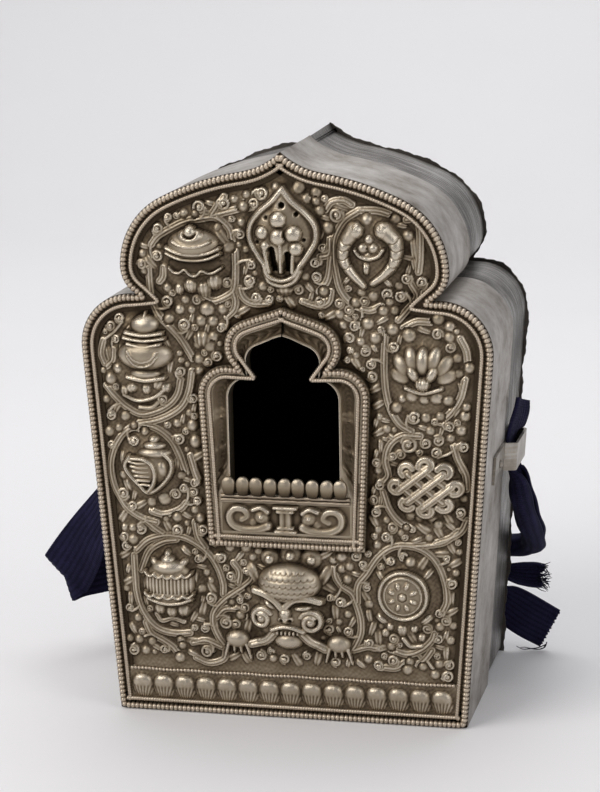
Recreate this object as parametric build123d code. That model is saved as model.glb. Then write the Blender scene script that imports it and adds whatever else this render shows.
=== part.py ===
"""Ghau amulet box: a silver travelling shrine with a lobed outline, a repousse face with a window, a rear pan
that telescopes into the front case, and a ribbed cloth strap threaded through a riveted loop on each side.

Millimetres, +Z up, front towards -Y, X to the viewer's right, origin under the middle of the case.
Face relief is drawn in face coordinates: x to the right, y up from the base, z out of the face."""

import os
from math import atan2, cos, pi, sin

from build123d import *

# Case outline. Drops are measured down from the point of the case, insets in from the shoulder.
case_height = 200.0
case_depth = 85.0
base_half_width = 62.5
shoulder_half_width = 72.0
shoulder_drop = 69.0
notch_inset = 20.7
notch_drop = 49.7
flank_inset = 14.8
flank_drop = 40.0
corner_inset = 30.0
corner_drop = 15.7
crown_half_width = 14.0
crown_drop = 6.8

# Sheet metal and the telescoping fit
face_sheet = 1.0
wall_sheet = 1.0
pan_sheet = 0.8
back_sheet = 1.0
front_wall_depth = 44.0
pan_overlap = 14.0
pan_clearance = 0.3
stop_tab_width = 4.0
stop_tab_rise = 1.6
stop_tab_length = 14.0
stop_tab_drop = 40.0
stop_tab_spread = 36.0
lining_thick = 0.8
lining_gap = 0.1

# Wires: coarse beaded ones and finer twisted ones, all half round with a flat seat
bead_wire_width = 2.5
bead_wire_rise = 2.0
bead_wire_top = 1.0
twist_wire_width = 1.8
twist_wire_rise = 1.4
wire_gap = 0.4
base_line_height = 15.2
base_line_width = 1.2
base_line_rise = 1.0
base_line_top = 0.5

# Window frame outline, measured like the case outline, from its own foot and point
frame_foot_height = 62.5
frame_height = 85.0
frame_foot_half_width = 27.6
frame_half_width = 30.0
frame_shoulder_drop = 31.5
frame_notch_inset = 12.8
frame_notch_drop = 21.0
frame_flank_inset = 9.7
frame_flank_drop = 14.0
frame_corner_inset = 15.5
frame_corner_drop = 5.3
frame_crown_half_width = 6.2
frame_crown_drop = 2.3
frame_rise = 2.4
frame_slit = 0.5

# Window opening, measured the same way: its sill over the foot of the frame, its point under the frame's
sill_height = 19.3
frame_top_band = 10.0
opening_half_width = 19.3
opening_shoulder_drop = 22.0
opening_notch_inset = 7.0
opening_notch_drop = 14.9
opening_flank_inset = 6.5
opening_flank_drop = 9.0
opening_corner_inset = 10.1
opening_corner_drop = 3.6
opening_crown_half_width = 4.2
opening_crown_drop = 1.4
opening_bevel = 4.4
opening_lip = 0.9
plate_setback = 1.5

# Sill: knobs over two rails over a panel
knob_count = 9
knob_width = 4.6
knob_pitch = 4.95
knob_height = 6.4
knob_rise = 2.6
rail_width = 1.1
rail_gap = 0.35
rail_rise = 1.4
panel_thick = 0.7
pillar_width = 6.0
pillar_rise = 2.2

# Relief of the face: heights out of the sheet, and places of the emblems
relief_rise = 7.0
emblem_sink = 3.6
upper_emblem_half_span = 30.0
upper_emblem_drop = 36.0
jewel_drop = 28.0
vase_drop = 73.5
conch_height = 87.0
banner_height = 47.5
emblem_inset = 21.8
mask_height = 42.0
vine_width = 1.8
vine_rise = 1.4
curl_rise = 1.7
curl_flat_count = 6
vine_flat_count = 16
petal_count = 15
petal_pitch = 7.7
petal_height = 8.2
petal_rise = 2.2
petal_foot = 4.6
petal_gap = 0.4

# Strap loops: a riveted foot, then an arch that stands off the wall, drawn looking down the side wall
loop_height = 87.5
loop_strip_width = 10.0
loop_strip_thick = 0.9
loop_stand_off = 4.2
loop_foot_length = 21.0
loop_foot_setback = 5.5
loop_span = 21.4
loop_clearance = 0.4
rivet_setback = 15.5
rivet_head_radius = 1.7
rivet_head_rise = 1.0
rivet_shank_radius = 0.9
rivet_clearance = 0.05

# Strap
strap_width = 20.0
strap_thick = 2.0
strap_gap = 0.35
strap_bunch_radius = 4.3
stub_height = 12.0
stub_flare = 16.0
knot_width = 17.0
knot_height = 17.0
knot_depth = 9.5
knot_x = 53.0
knot_z = 35.0
knot_round = 3.0
frayed_tail_length = 15.5
frayed_tail_thick = 5.0
frayed_tail_width = 9.5
frayed_tail_drop = 6.0
frayed_tail_round = 2.2
cut_tail_reach = 29.0
cut_tail_gather = 3.5
cut_tail_end = 15.0
cut_tail_slant = 4.6
cut_tail_lift = 1.4
cut_tail_sag = 9.0

# Depths, front to back, with the tallest relief and the back plate equally far from the origin
face_front = relief_rise - (relief_rise + case_depth) / 2
face_back = face_front + face_sheet
wall_end = face_back + front_wall_depth
pan_front = wall_end - pan_overlap
back_rear = face_front + case_depth
back_front = back_rear - back_sheet
border_width = bead_wire_width + wire_gap + twist_wire_width

# Window opening's foot and height
opening_foot_height = frame_foot_height + sill_height
opening_height = frame_height - sill_height - frame_top_band


def lobed_outline(foot, height, foot_half, shoulder, notch, flank, corner, crown):
    """Face with a mirrored lobed outline. Each of shoulder, notch, flank, corner and crown is (half width,
    drop from the point). A straight side rises to the shoulder and a lobe turns in to the notch. Above it a
    throat, a corner arc, a crown arc and a reversed arc run tangent to each other up to the point."""
    point = foot + height
    places = [(x, point - drop) for x, drop in (shoulder, notch, flank, corner, crown)]
    shoulder_at, notch_at, flank_at, corner_at, crown_at = places
    side = Line((foot_half, foot), shoulder_at)
    lobe = TangentArc(shoulder_at, notch_at, tangent=side % 1)
    throat = TangentArc(flank_at, notch_at, tangent=(0, -1))
    corner_arc = TangentArc(flank_at, corner_at, tangent=(0, 1))
    crown_arc = TangentArc(corner_at, crown_at, tangent=corner_arc % 1)
    tip = TangentArc(crown_at, (0, point), tangent=crown_arc % 1)
    half = [side, lobe, throat, corner_arc, crown_arc, tip]
    other_half = [mirror(edge, Plane.YZ) for edge in half]
    return make_face(half + other_half + [Line((-foot_half, foot), (foot_half, foot))])


def slab(face, front, back):
    """The flat face, drawn in x and z, given thickness from y = front to y = back."""
    return extrude(Plane.XZ.offset(-back) * face, amount=back - front)


def on_face(form):
    """A form from face coordinates, set on the front of the face sheet."""
    return Plane.XZ.offset(-face_front) * form


case_outline = lobed_outline(
    0.0,
    case_height,
    base_half_width,
    (shoulder_half_width, shoulder_drop),
    (shoulder_half_width - notch_inset, notch_drop),
    (shoulder_half_width - flank_inset, flank_drop),
    (shoulder_half_width - corner_inset, corner_drop),
    (crown_half_width, crown_drop),
)
frame_outline = lobed_outline(
    frame_foot_height,
    frame_height,
    frame_foot_half_width,
    (frame_half_width, frame_shoulder_drop),
    (frame_half_width - frame_notch_inset, frame_notch_drop),
    (frame_half_width - frame_flank_inset, frame_flank_drop),
    (frame_half_width - frame_corner_inset, frame_corner_drop),
    (frame_crown_half_width, frame_crown_drop),
)


def opening_outline(grow):
    """The window opening, its sides, foot and point moved out by grow."""
    return lobed_outline(
        opening_foot_height - grow,
        opening_height + 2 * grow,
        opening_half_width + grow,
        (opening_half_width + grow, opening_shoulder_drop + grow),
        (opening_half_width - opening_notch_inset + grow, opening_notch_drop + grow),
        (opening_half_width - opening_flank_inset + grow, opening_flank_drop + grow),
        (opening_half_width - opening_corner_inset + grow, opening_corner_drop + grow / 2),
        (opening_crown_half_width + grow / 2, opening_crown_drop + grow / 4),
    )


def side_half_width(z):
    """Half width of the case at height z on its straight tapered side."""
    return base_half_width + (shoulder_half_width - base_half_width) * z / (case_height - shoulder_drop)


# Sheet-metal case


def ring(outer_inset, inner_inset):
    """The case outline's band between two insets."""
    outer = offset(case_outline, -outer_inset) if outer_inset else case_outline
    return outer - offset(case_outline, -inner_inset)


def front_wall():
    """Band of the front case behind the face, with a hole on each side for the loop's rivet."""
    wall = slab(ring(0, wall_sheet), face_back, wall_end)
    return wall - on_right_wall(rivet_hole()) - on_left_wall(rivet_hole())


def stop_tabs():
    """Tabs soldered inside the front wall to stop the pan: one under each strap loop and two on the base."""
    inside = -wall_sheet - stop_tab_rise / 2
    along = pan_overlap + pan_clearance + stop_tab_width / 2
    tab = Pos(along, inside, -stop_tab_drop) * Box(stop_tab_width, stop_tab_rise, stop_tab_length)
    base_tab = Box(stop_tab_length, stop_tab_width, stop_tab_rise, align=(Align.CENTER, Align.MAX, Align.MIN))
    base_tab = Pos(stop_tab_spread, pan_front - pan_clearance, wall_sheet) * base_tab
    return Compound(children=[on_right_wall(tab), on_left_wall(tab), base_tab, mirror(base_tab, Plane.YZ)])


pan_inset = wall_sheet + pan_clearance
lining_inset = pan_inset + pan_sheet + lining_gap


def pan_wall():
    """Band of the rear pan, which slides inside the front wall."""
    return slab(ring(pan_inset, pan_inset + pan_sheet), pan_front, back_front)


def back_plate():
    """Plate that closes the pan and stands out past its wall, level with the front case."""
    return slab(case_outline, back_front, back_rear)


def lining():
    """Black cloth glued in the pan: one piece over the back plate and round the wall."""
    outside = offset(case_outline, -lining_inset)
    inside = offset(case_outline, -lining_inset - lining_thick)
    rear = back_front - lining_gap
    return slab(outside, pan_front, rear) - slab(inside, pan_front, rear - lining_thick)


# Wires


def wire_section(width, rise, top):
    """Half-round wire section in flats: a seat on x = 0, sloping sides and a flat top of that width, or a
    ridge where top is 0."""
    half = width / 2
    crest = [(rise, -top / 2), (rise, top / 2)] if top else [(rise, 0)]
    return make_face(Polyline((0, -half), *crest, (0, half), close=True))


def wire_along(outline, inset, width, rise, seat, top):
    """Wire inside an outline, its outer edge at inset, seated on the plane y = seat. Half is swept from the
    middle of the foot to just past the point, cut on the middle plane and mirrored."""
    path = offset(outline, -inset - width / 2)
    foot = [edge for edge in path.edges() if abs(edge.center().X) < width / 2][0]
    foot_corner = max(foot @ 0, foot @ 1, key=lambda corner: corner.X)
    rising = [edge for edge in path.edges() if edge.center().X > width / 2]
    half = Wire([Line((0, foot_corner.Y), foot_corner)] + rising, sequenced=True)
    beyond = Line(half @ 1, (half @ 1) + (half % 1) * width)
    half = Plane.XZ.offset(-seat) * Wire(half.edges() + [beyond], sequenced=True)
    section = Plane(origin=half @ 0, x_dir=(0, -1, 0), z_dir=half % 0) * wire_section(width, rise, top)
    right = split(sweep(section, path=half, transition=Transition.RIGHT), Plane.YZ, keep=Keep.TOP)
    return right + mirror(right, Plane.YZ)


def border_bead_wire():
    """Coarse beaded wire round the rim of the face."""
    return wire_along(case_outline, 0, bead_wire_width, bead_wire_rise, face_front, bead_wire_top)


def border_twist_wire():
    """Finer twisted wire just inside the beaded one."""
    inset = bead_wire_width + wire_gap
    return wire_along(case_outline, inset, twist_wire_width, twist_wire_rise, face_front, 0)


def slit_cut():
    """Room for the slit where the ends of the window strip meet over the opening."""
    tall = frame_foot_height + frame_height - opening_foot_height
    slit = Rectangle(frame_slit, tall, align=(Align.CENTER, Align.MIN))
    above_sill = Pos(0, opening_foot_height + opening_height / 2) * slit
    return slab(above_sill, face_front - relief_rise, face_front)


frame_front = face_front - frame_rise


def window_frame():
    """Strip bent round the window: flat outside, hollowed down to a thin lip at the opening."""
    strip = slab(frame_outline, frame_front, face_front)
    lip_depth = face_front - opening_lip
    hollow = loft(
        [
            Plane.XZ.offset(-frame_front) * opening_outline(opening_bevel),
            Plane.XZ.offset(-lip_depth) * opening_outline(opening_lip),
        ],
        ruled=True,
    )
    above_sill = Pos(0, opening_foot_height) * Rectangle(
        2 * frame_half_width, frame_height, align=(Align.CENTER, Align.MIN)
    )
    hollow = hollow & slab(above_sill, frame_front, face_front)
    opening = slab(opening_outline(0), frame_front, face_front)
    return strip - hollow - opening - slit_cut()


def window_bead_wire():
    """Coarse beaded wire round the window strip, open at the slit."""
    wire = wire_along(frame_outline, 0, bead_wire_width, bead_wire_rise, frame_front, bead_wire_top)
    return wire - slit_cut()


def window_twist_wire():
    """Finer wire inside it, open at the slit."""
    inset = bead_wire_width + wire_gap
    return wire_along(frame_outline, inset, twist_wire_width, twist_wire_rise, frame_front, 0) - slit_cut()


# Sill of the window, from the opening down

sill_half_width = frame_foot_half_width - border_width
rails_top = opening_foot_height - rail_gap
rails_foot = rails_top - 2 * rail_width - rail_gap
panel_foot = frame_foot_height + border_width + wire_gap


def on_frame(form):
    """A form from face coordinates, set on the front of the window strip."""
    return Plane.XZ.offset(-frame_front) * form


def sill_knobs():
    """Row of lotus knobs standing on the rails, each an upright oval."""
    knob = leaf(knob_width / 2, knob_height / 2, knob_rise)
    first = -(knob_count - 1) / 2 * knob_pitch
    middle = opening_foot_height + knob_height / 2
    row = [Pos(first + index * knob_pitch, middle) * knob for index in range(knob_count)]
    return on_frame(Compound(children=row))


def sill_rails():
    """Two plain rails under the knobs."""
    bar = Pos(0, rails_top - rail_width / 2) * Box(
        2 * sill_half_width, rail_width, rail_rise, align=(Align.CENTER, Align.CENTER, Align.MIN)
    )
    lower = Pos(0, -rail_width - rail_gap) * bar
    return on_frame(Compound(children=[bar, lower]))


def sill_panel():
    """Panel under the rails with a stepped pillar between two curled beasts."""
    tall = rails_foot - rail_gap - panel_foot
    middle = panel_foot + tall / 2
    plate = Pos(0, middle) * extrude(Rectangle(2 * sill_half_width, tall), amount=panel_thick)
    pillar = [
        Pos(0, middle) * extrude(Rectangle(pillar_width * wide, tall * high), amount=pillar_rise * rise)
        for wide, high, rise in ((1.0, 1.0, 0.5), (0.72, 0.86, 0.75), (0.44, 0.7, 1.0))
    ]
    curl = tall * 0.3
    beasts = []
    for side in (1, -1):
        x = side * (pillar_width / 2 + sill_half_width) / 2
        beasts.append(Pos(x, middle) * leaf(1.7 * curl, curl, panel_thick + pillar_rise / 2))
        tail = band_ring(curl * 0.8, curl * 0.6, panel_thick + pillar_rise / 3, 8)
        beasts.append(Pos(x + side * curl, middle + curl * 0.2) * tail)
    return on_frame(plate + pillar + beasts)


def base_line_wire():
    """Line of small beads over the lotus petals, as one half-round strip."""
    half = side_half_width(base_line_height) - border_width - wire_gap
    section = wire_section(base_line_width, base_line_rise, base_line_top)
    section = Plane.YZ.offset(-half) * Rot(0, 0, 90) * section
    return on_face(Pos(0, base_line_height) * extrude(section, amount=2 * half))


# Relief of the face


def flat_sided(rings):
    """Solid with flat sides through rings of corners, each ring flat and parallel-sided to the next."""
    faces = [Face(Wire.make_polygon(ring)) for ring in (rings[0], rings[-1])]
    for low, high in zip(rings, rings[1:]):
        for index in range(len(low)):
            faces.append(Face(Wire.make_polygon([low[index - 1], low[index], high[index], high[index - 1]])))
    return Solid(Shell(faces))


def round_corners(flats):
    """Corners of a circle of radius 1 drawn in so many flats."""
    turns = [2 * pi * (index + 0.5) / flats for index in range(flats)]
    return [(cos(turn), sin(turn)) for turn in turns]


def boss(half_width, half_length, levels, flats):
    """Raised oval in so many flats: at each of levels, (share of the half width and length, height)."""
    rings = []
    for share, height in levels:
        wide = half_width * share
        long = half_length * share
        rings.append([(wide * x, long * y, height) for x, y in round_corners(flats)])
    return flat_sided(rings)


def leaf(half_width, half_length, rise):
    """Oval boss drawn in towards its top."""
    return boss(half_width, half_length, ((1.0, 0.0), (0.58, rise)), 8)


def stud(radius, rise):
    """Small round boss."""
    return leaf(radius, radius, rise)


def dome(half_width, half_length, rise):
    """Wide oval boss that rounds over towards its top."""
    levels = ((1.0, 0.0), (0.88, 0.5 * rise), (0.6, 0.85 * rise), (0.25, rise))
    return boss(half_width, half_length, levels, 12)


def band_ring(radius, width, rise, flats):
    """Flat-topped ring of that middle radius and width, in so many flats."""
    outside = RegularPolygon(radius + width / 2, flats)
    inside = RegularPolygon(radius - width / 2, flats)
    return extrude(outside - inside, amount=rise)


def turned(*profile):
    """Turned form seen from the front, in twelve flats: (radius, height) rounds joined by straight sides,
    about an upright axis behind the sheet."""
    rounds = []
    for radius, height in profile:
        rounds.append([(radius * x, height, radius * z - emblem_sink) for x, z in round_corners(12)])
    return flat_sided(rounds)


def parasol():
    """Knob and dome over a wide brim and a valance, on a lotus foot."""
    top = turned((1.4, 11.5), (4.6, 8.6), (8.0, 6.6), (10.2, 2.0), (9.7, -4.4))
    foot = turned((5.2, -4.4), (7.0, -8.2), (4.2, -12.2))
    return top + foot


def vase():
    """Lidded vase with a round belly, a flared foot and a lotus under it."""
    body = turned((1.2, 14.0), (4.6, 9.6), (8.4, 6.8), (9.8, 2.2), (8.4, -2.6), (5.0, -6.2))
    foot = turned((5.0, -6.2), (8.0, -9.4), (4.6, -12.8))
    return body + foot


def banner():
    """Victory banner: a knob over flared tiers, on a lotus foot."""
    top = turned((1.2, 12.4), (5.0, 8.2), (8.2, 6.2), (7.6, 0.6))
    skirt = turned((7.6, 0.6), (8.9, -0.2), (8.4, -5.6))
    foot = turned((5.0, -5.6), (7.2, -9.4), (4.2, -12.6))
    return top + skirt + foot


def conch():
    """Conch shell leaning to one side, its spire up, over a pair of leaves."""
    shell = turned((1.0, 12.2), (4.4, 9.6), (7.8, 6.2), (8.3, 2.4), (6.4, -3.0), (4.2, -8.4))
    leaves = [Pos(x, -9.6) * Rot(0, 0, turn) * leaf(3.4, 4.6, 3.0) for x, turn in ((-4.2, 60), (4.2, -60))]
    return Rot(0, 0, 16) * shell + leaves


def two_fish():
    """Two fish face to face as halves of a ring, tails crossed below, about a bowl with a pearl over it."""
    bodies = band_ring(7.9, 5.6, 3.4, vine_flat_count) + band_ring(7.9, 2.8, 4.6, vine_flat_count)
    bodies -= Box(2.6, 8 * relief_rise, 4 * relief_rise)
    tails = [Pos(x, -10.4) * Rot(0, 0, turn) * leaf(2.6, 3.8, 3.0) for x, turn in ((-3.6, -35), (3.6, 35))]
    bowl = stud(4.3, 4.4)
    pearl = Pos(0, 8.6) * stud(3.0, 5.2)
    return bodies + tails + bowl + pearl


def lotus():
    """Open lotus: a bud in front of a fan of petals, on a cushion of leaves."""
    bud = Pos(0, 1.4) * leaf(3.6, 6.0, 5.6)
    petals = [Rot(0, 0, turn) * Pos(0, 5.8) * leaf(3.0, 5.2, 4.0) for turn in (-82, -44, 44, 82)]
    leaves = [Pos(x, -8.2) * stud(3.8, 3.4) for x in (-6.4, 0, 6.4)]
    return bud + petals + leaves


def endless_knot():
    """Endless knot: a raised round with two sets of slanting bands woven across it."""
    bands = []
    for turn in (45, -45):
        bands += [Rot(0, 0, turn) * Pos(step, 0, 2.0) * Box(2.2, 16.0, 4.4) for step in (-4.6, 0, 4.6)]
    return stud(11.6, 2.6) + bands


def wheel():
    """Wheel: a dished disc with a rim, a hub and a ring of eight petals, a jewel on top and leaves below."""
    petals = [Rot(0, 0, turn * 45) * Pos(0, 5.0) * stud(1.9, 4.4) for turn in range(8)]
    jewel = Pos(0, 10.8) * stud(2.3, 2.8)
    leaves = [Pos(x, -10.8) * stud(2.9, 2.6) for x in (-4.2, 4.2)]
    disc = dome(9.0, 9.0, 3.0) + band_ring(8.6, 1.9, 2.8, vine_flat_count)
    return disc + stud(2.4, 5.0) + petals + leaves + jewel


def flaming_jewel():
    """Pointed flame with clustered jewels on two stems, in a dish on a small foot."""
    round_foot = CenterArc((0, -2.0), 11.0, 180, 180)
    left = TangentArc(round_foot @ 0, (0, 15.6), tangent=(0, 1))
    right = TangentArc(round_foot @ 1, (0, 15.6), tangent=(0, 1))
    flame = extrude(make_face([round_foot, left, right]), amount=2.4)
    flame = chamfer(flame.faces().sort_by(Axis.Z)[-1].edges(), 1.4)
    balls = [Pos(x, y) * stud(2.5, 5.0) for x, y in ((0, 5.2), (0, 0.2), (-5.2, 1.4), (5.2, 1.4))]
    stems = [Pos(x, -5.6, 1.8) * Box(1.8, 9.0, 3.6) for x in (-2.4, 2.4)]
    dish = Pos(0, -10.6, 2.0) * Box(12.0, 2.0, 4.0)
    return flame + balls + stems + dish + Pos(0, -16.4) * stud(3.4, 3.2)


def monster_mask():
    """Monster mask: jewelled crown, domed scalp, flaming brows, eyes, snout, curled whiskers and a lower jaw,
    with a claw each side."""
    scalp = Pos(0, 6.4) * dome(9.8, 7.0, relief_rise)
    crown = [Pos(x, 15.0 - abs(x) * 0.14) * stud(2.7, 3.0) for x in (-7.4, 0, 7.4)]
    forms = crown + [Pos(0, -5.6) * stud(3.6, 6.0), Pos(0, -14.4) * leaf(5.8, 3.6, 4.2)]
    for side in (1, -1):
        forms.append(Pos(side * 6.0, -0.8) * Rot(0, 0, side * 16) * leaf(6.4, 2.0, 5.4))
        forms.append(Pos(side * 5.2, -4.0) * stud(2.3, 4.2))
        forms.append(Pos(side * 9.2, -8.2) * band_ring(2.9, 2.2, 2.6, 8))
        forms.append(Pos(side * 5.2, -10.0) * stud(3.4, 3.8))
        forms.append(Pos(side * 18.8, -13.4) * stud(3.8, 2.8))
        for toe in (-1, 0, 1):
            forms.append(Pos(side * 18.8 + toe * 2.6, -17.6, 0.8) * Rot(0, 0, toe * 14) * Box(1.7, 6.6, 1.6))
    return scalp + forms


# Vine round each emblem, from the emblem's middle: its main stems, and its main curls as (x, y, radius)
vine = {
    "parasol": (
        [
            [(-15.5, 4.0), (-13.0, 7.0), (-3.0, 12.3), (7.0, 13.7), (10.0, 12.0)],
            [(14.0, 2.0), (12.8, -11.7), (6.0, -15.2), (2.7, -13.7)],
            [(15.2, -10.5), (18.0, -15.0), (25.0, -15.5)],
        ],
        [(1.7, 17.3, 2.6), (10.4, 18.6, 2.4), (-10.5, -15.8, 2.3), (-13.5, 0.0, 2.1), (1.3, -22.2, 2.1)],
    ),
    "two_fish": (
        [
            [
                (-3.0, 17.0), (-8.0, 13.5), (-11.2, 8.0), (-11.2, -4.0), (-9.5, -10.5), (-5.5, -15.0),
                (0.0, -17.0), (4.0, -15.5),
            ],
            [(13.0, 14.0), (16.0, 14.0), (17.5, 10.0), (17.0, -3.5)],
            [(14.5, -7.5), (16.5, -12.0), (10.0, -20.0)],
            [(-12.7, 1.0), (-14.0, -6.5), (-17.0, -11.0)],
            [(-13.0, -11.0), (-14.0, -14.5), (-17.5, -16.0), (-23.0, -14.5)],
        ],
        [(11.0, -11.8, 2.3), (-0.5, -21.7, 2.2), (18.3, -7.0, 2.1), (-5.0, -22.7, 2.0)],
    ),
    "vase": (
        [
            [(3.1, 33.0), (4.9, 19.5), (17.9, 2.0)],
            [(-13.6, -8.5), (-6.1, -16.0), (-1.1, -18.2), (9.4, -14.0), (13.4, -5.5)],
            [(17.4, -2.5), (14.4, -13.5), (10.9, -17.0), (-2.1, -21.5)],
        ],
        [(15.4, 13.8, 2.5), (24.0, 6.5, 2.2), (-7.9, 15.5, 2.0), (-12.3, -19.0, 2.0)],
    ),
    "lotus": (
        [
            [(-14.4, 12.5), (-14.6, -6.5), (-12.9, -13.5), (-9.9, -18.5), (-5.9, -21.0)],
            [(12.6, -2.5), (11.1, -8.5), (4.1, -17.5)],
        ],
        [(-4.9, -16.0, 2.5), (-6.4, 12.2, 2.5), (3.6, 18.2, 2.3), (-17.9, 11.0, 2.2), (-11.4, 8.0, 2.0),
         (-19.6, 2.0, 2.0), (7.4, -19.0, 2.0), (7.6, 15.5, 2.0), (14.1, 1.5, 2.0), (12.6, -15.2, 2.0)],
    ),
    "conch": (
        [
            [(-5.0, 17.7), (1.0, 16.5), (6.0, 13.0), (11.2, 1.0)],
            [
                (-3.0, 15.3), (-7.0, 16.5), (-11.0, 14.0), (-16.0, 3.0), (-15.5, -3.0), (-10.0, -13.0),
                (0.0, -17.5),
            ],
            [(-1.5, -13.5), (3.0, -14.5), (11.0, -10.0)],
        ],
        [(15.0, 12.0, 2.4), (14.1, 17.8, 2.2), (-16.2, 14.5, 2.0)],
    ),
    "endless_knot": (
        [
            [(-7.0, -22.0), (8.0, -20.0), (13.0, -16.0)],
            [(0.0, 17.0), (-6.0, 17.0), (-10.5, 13.5), (-12.0, 8.0), (-11.0, 3.0), (-12.5, 0.5)],
            [(-13.0, -3.0), (-11.0, -9.0), (-3.0, -16.0)],
            [(11.5, 14.0), (16.0, -1.0)],
            [(16.0, -12.0), (14.0, -16.0), (5.0, -20.5)],
        ],
        [(15.0, 13.8, 2.0), (13.7, -9.3, 2.0), (-15.7, -10.3, 2.0)],
    ),
    "banner": (
        [
            [
                (-10.4, 11.5), (-5.9, 15.5), (1.1, 17.5), (8.1, 16.5), (14.6, 12.5), (18.6, 7.0),
                (20.6, -3.0),
            ],
            [(-8.9, 4.5), (-5.9, 11.5), (-0.9, 15.0), (4.1, 16.0)],
            [(-11.4, 9.5), (-10.9, -3.5), (-6.4, -14.5), (-2.4, -17.5), (8.1, -18.0)],
            [(-7.9, -15.0), (-5.9, -19.0), (2.1, -24.0), (3.6, -27.0)],
            [(10.1, -27.0), (15.1, -28.7), (20.1, -27.0), (21.1, -23.5)],
        ],
        [(14.3, -24.5, 2.5), (16.1, -4.7, 2.3), (-8.6, 19.2, 2.2), (-12.9, -25.5, 2.2),
         (14.1, 19.8, 2.1), (20.3, 10.3, 2.1), (-14.2, 13.0, 2.0)],
    ),
    "wheel": (
        [
            [
                (-19.6, -3.5), (-19.3, 2.5), (-12.1, 13.0), (-7.1, 16.8), (-1.1, 17.5), (4.9, 15.5),
                (8.9, 11.0), (11.2, 4.5), (10.4, -5.0),
            ],
            [(-8.1, -20.0), (-2.1, -21.5), (2.9, -19.5), (7.4, -13.5)],
        ],
        [(-7.1, -24.0, 2.2), (11.9, -29.0, 2.2), (-9.1, 20.5, 2.0)],
    ),
    "flaming_jewel": (
        [],
        [(-11.0, -15.8, 2.3), (16.3, 2.8, 2.2), (12.0, -9.2, 2.0), (12.0, -14.0, 2.0), (12.3, 14.8, 2.0)],
    ),
    "monster_mask": (
        [
            [(-13.0, 12.0), (-13.0, 8.5), (-27.0, -4.5), (-27.3, -9.0), (-23.5, -16.0)],
            [(-26.0, -6.0), (-23.0, -3.0), (-18.5, -3.0), (-16.0, -5.5)],
            [(16.5, 16.0), (16.8, 11.0), (22.5, 5.0), (25.5, -4.0), (25.5, -9.0), (22.5, -15.5)],
        ],
        [(-22.5, -8.0, 2.5), (18.5, 1.5, 2.0), (-15.0, 19.8, 2.0), (19.0, 18.0, 2.0)],
    ),
}


def vine_round(name):
    """Main stems and curls of the vine round one emblem, as low flat strips and buds."""
    stems, curls = vine[name]
    strips = [extrude(trace(Polyline(*stem), vine_width), amount=vine_rise) for stem in stems]
    levels = ((1.0, 0.0), (0.58, curl_rise))
    return strips + [Pos(x, y) * boss(radius, radius, levels, curl_flat_count) for x, y, radius in curls]


def lotus_petals():
    """Row of lotus petals along the foot of the face, each a rounded scale."""
    petal = leaf(petal_pitch / 2 - petal_gap / 2, petal_height / 2, petal_rise)
    first = -(petal_count - 1) / 2 * petal_pitch
    middle = petal_foot + petal_height / 2
    return [Pos(first + index * petal_pitch, middle) * petal for index in range(petal_count)]


def face_plate():
    """Repousse face: sheet with the lobed outline, its emblems in two columns round the window, a vine
    between them, a monster mask under the sill and lotus petals at the foot. All ends short of the wires."""
    upper = case_height - upper_emblem_drop
    vase_height = case_height - vase_drop
    emblems = [
        (parasol, -upper_emblem_half_span, upper),
        (two_fish, upper_emblem_half_span, upper),
        (vase, emblem_inset - side_half_width(vase_height), vase_height),
        (lotus, side_half_width(vase_height) - emblem_inset, vase_height),
        (conch, emblem_inset - side_half_width(conch_height), conch_height),
        (endless_knot, side_half_width(conch_height) - emblem_inset, conch_height),
        (banner, emblem_inset - side_half_width(banner_height), banner_height),
        (wheel, side_half_width(banner_height) - emblem_inset, banner_height),
        (flaming_jewel, 0, case_height - jewel_drop),
        (monster_mask, 0, mask_height),
    ]
    forms = [Pos(x, y) * emblem() for emblem, x, y in emblems]
    for emblem, x, y in emblems:
        forms += [Pos(x, y) * form for form in vine_round(emblem.__name__)]
    forms += lotus_petals()
    field = slab(offset(case_outline, -border_width - wire_gap), face_front - relief_rise, face_front)
    under_frame = slab(offset(frame_outline, wire_gap), face_front - relief_rise, face_front)
    line_room = on_face(
        Pos(0, base_line_height) * Box(4 * base_half_width, base_line_width + 2 * wire_gap, 4 * relief_rise)
    )
    sheet = slab(case_outline, face_front, face_back)
    relief = (on_face(forms[0] + forms[1:]) & field) - under_frame - line_room
    plate = sheet + relief
    return plate - slab(opening_outline(plate_setback), face_front - relief_rise, face_back)


# Strap loops on the side walls

loop_front = loop_foot_setback - loop_stand_off / 2
loop_rear = loop_front - loop_span
strap_middle = (loop_front + loop_rear) / 2


def on_right_wall(form):
    """A form set on the right side wall at the back edge of the front case, from coordinates with x towards
    the face, y out of the wall and z up the wall."""
    lean = atan2(shoulder_half_width - base_half_width, case_height - shoulder_drop)
    place = Plane(
        origin=(side_half_width(loop_height), wall_end, loop_height),
        x_dir=(0, -1, 0),
        z_dir=(sin(lean), 0, cos(lean)),
    )
    return place * form


def on_left_wall(form):
    """The same, on the left side wall."""
    return mirror(on_right_wall(form), Plane.YZ)


def rivet_hole():
    """Hole for a rivet's shank through the loop's foot and the wall, in the shank's eight flats."""
    bore = RegularPolygon(rivet_shank_radius + rivet_clearance, 8)
    return Pos(rivet_setback) * Rot(90, 0, 0) * extrude(bore, amount=2 * loop_stand_off, both=True)


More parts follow.
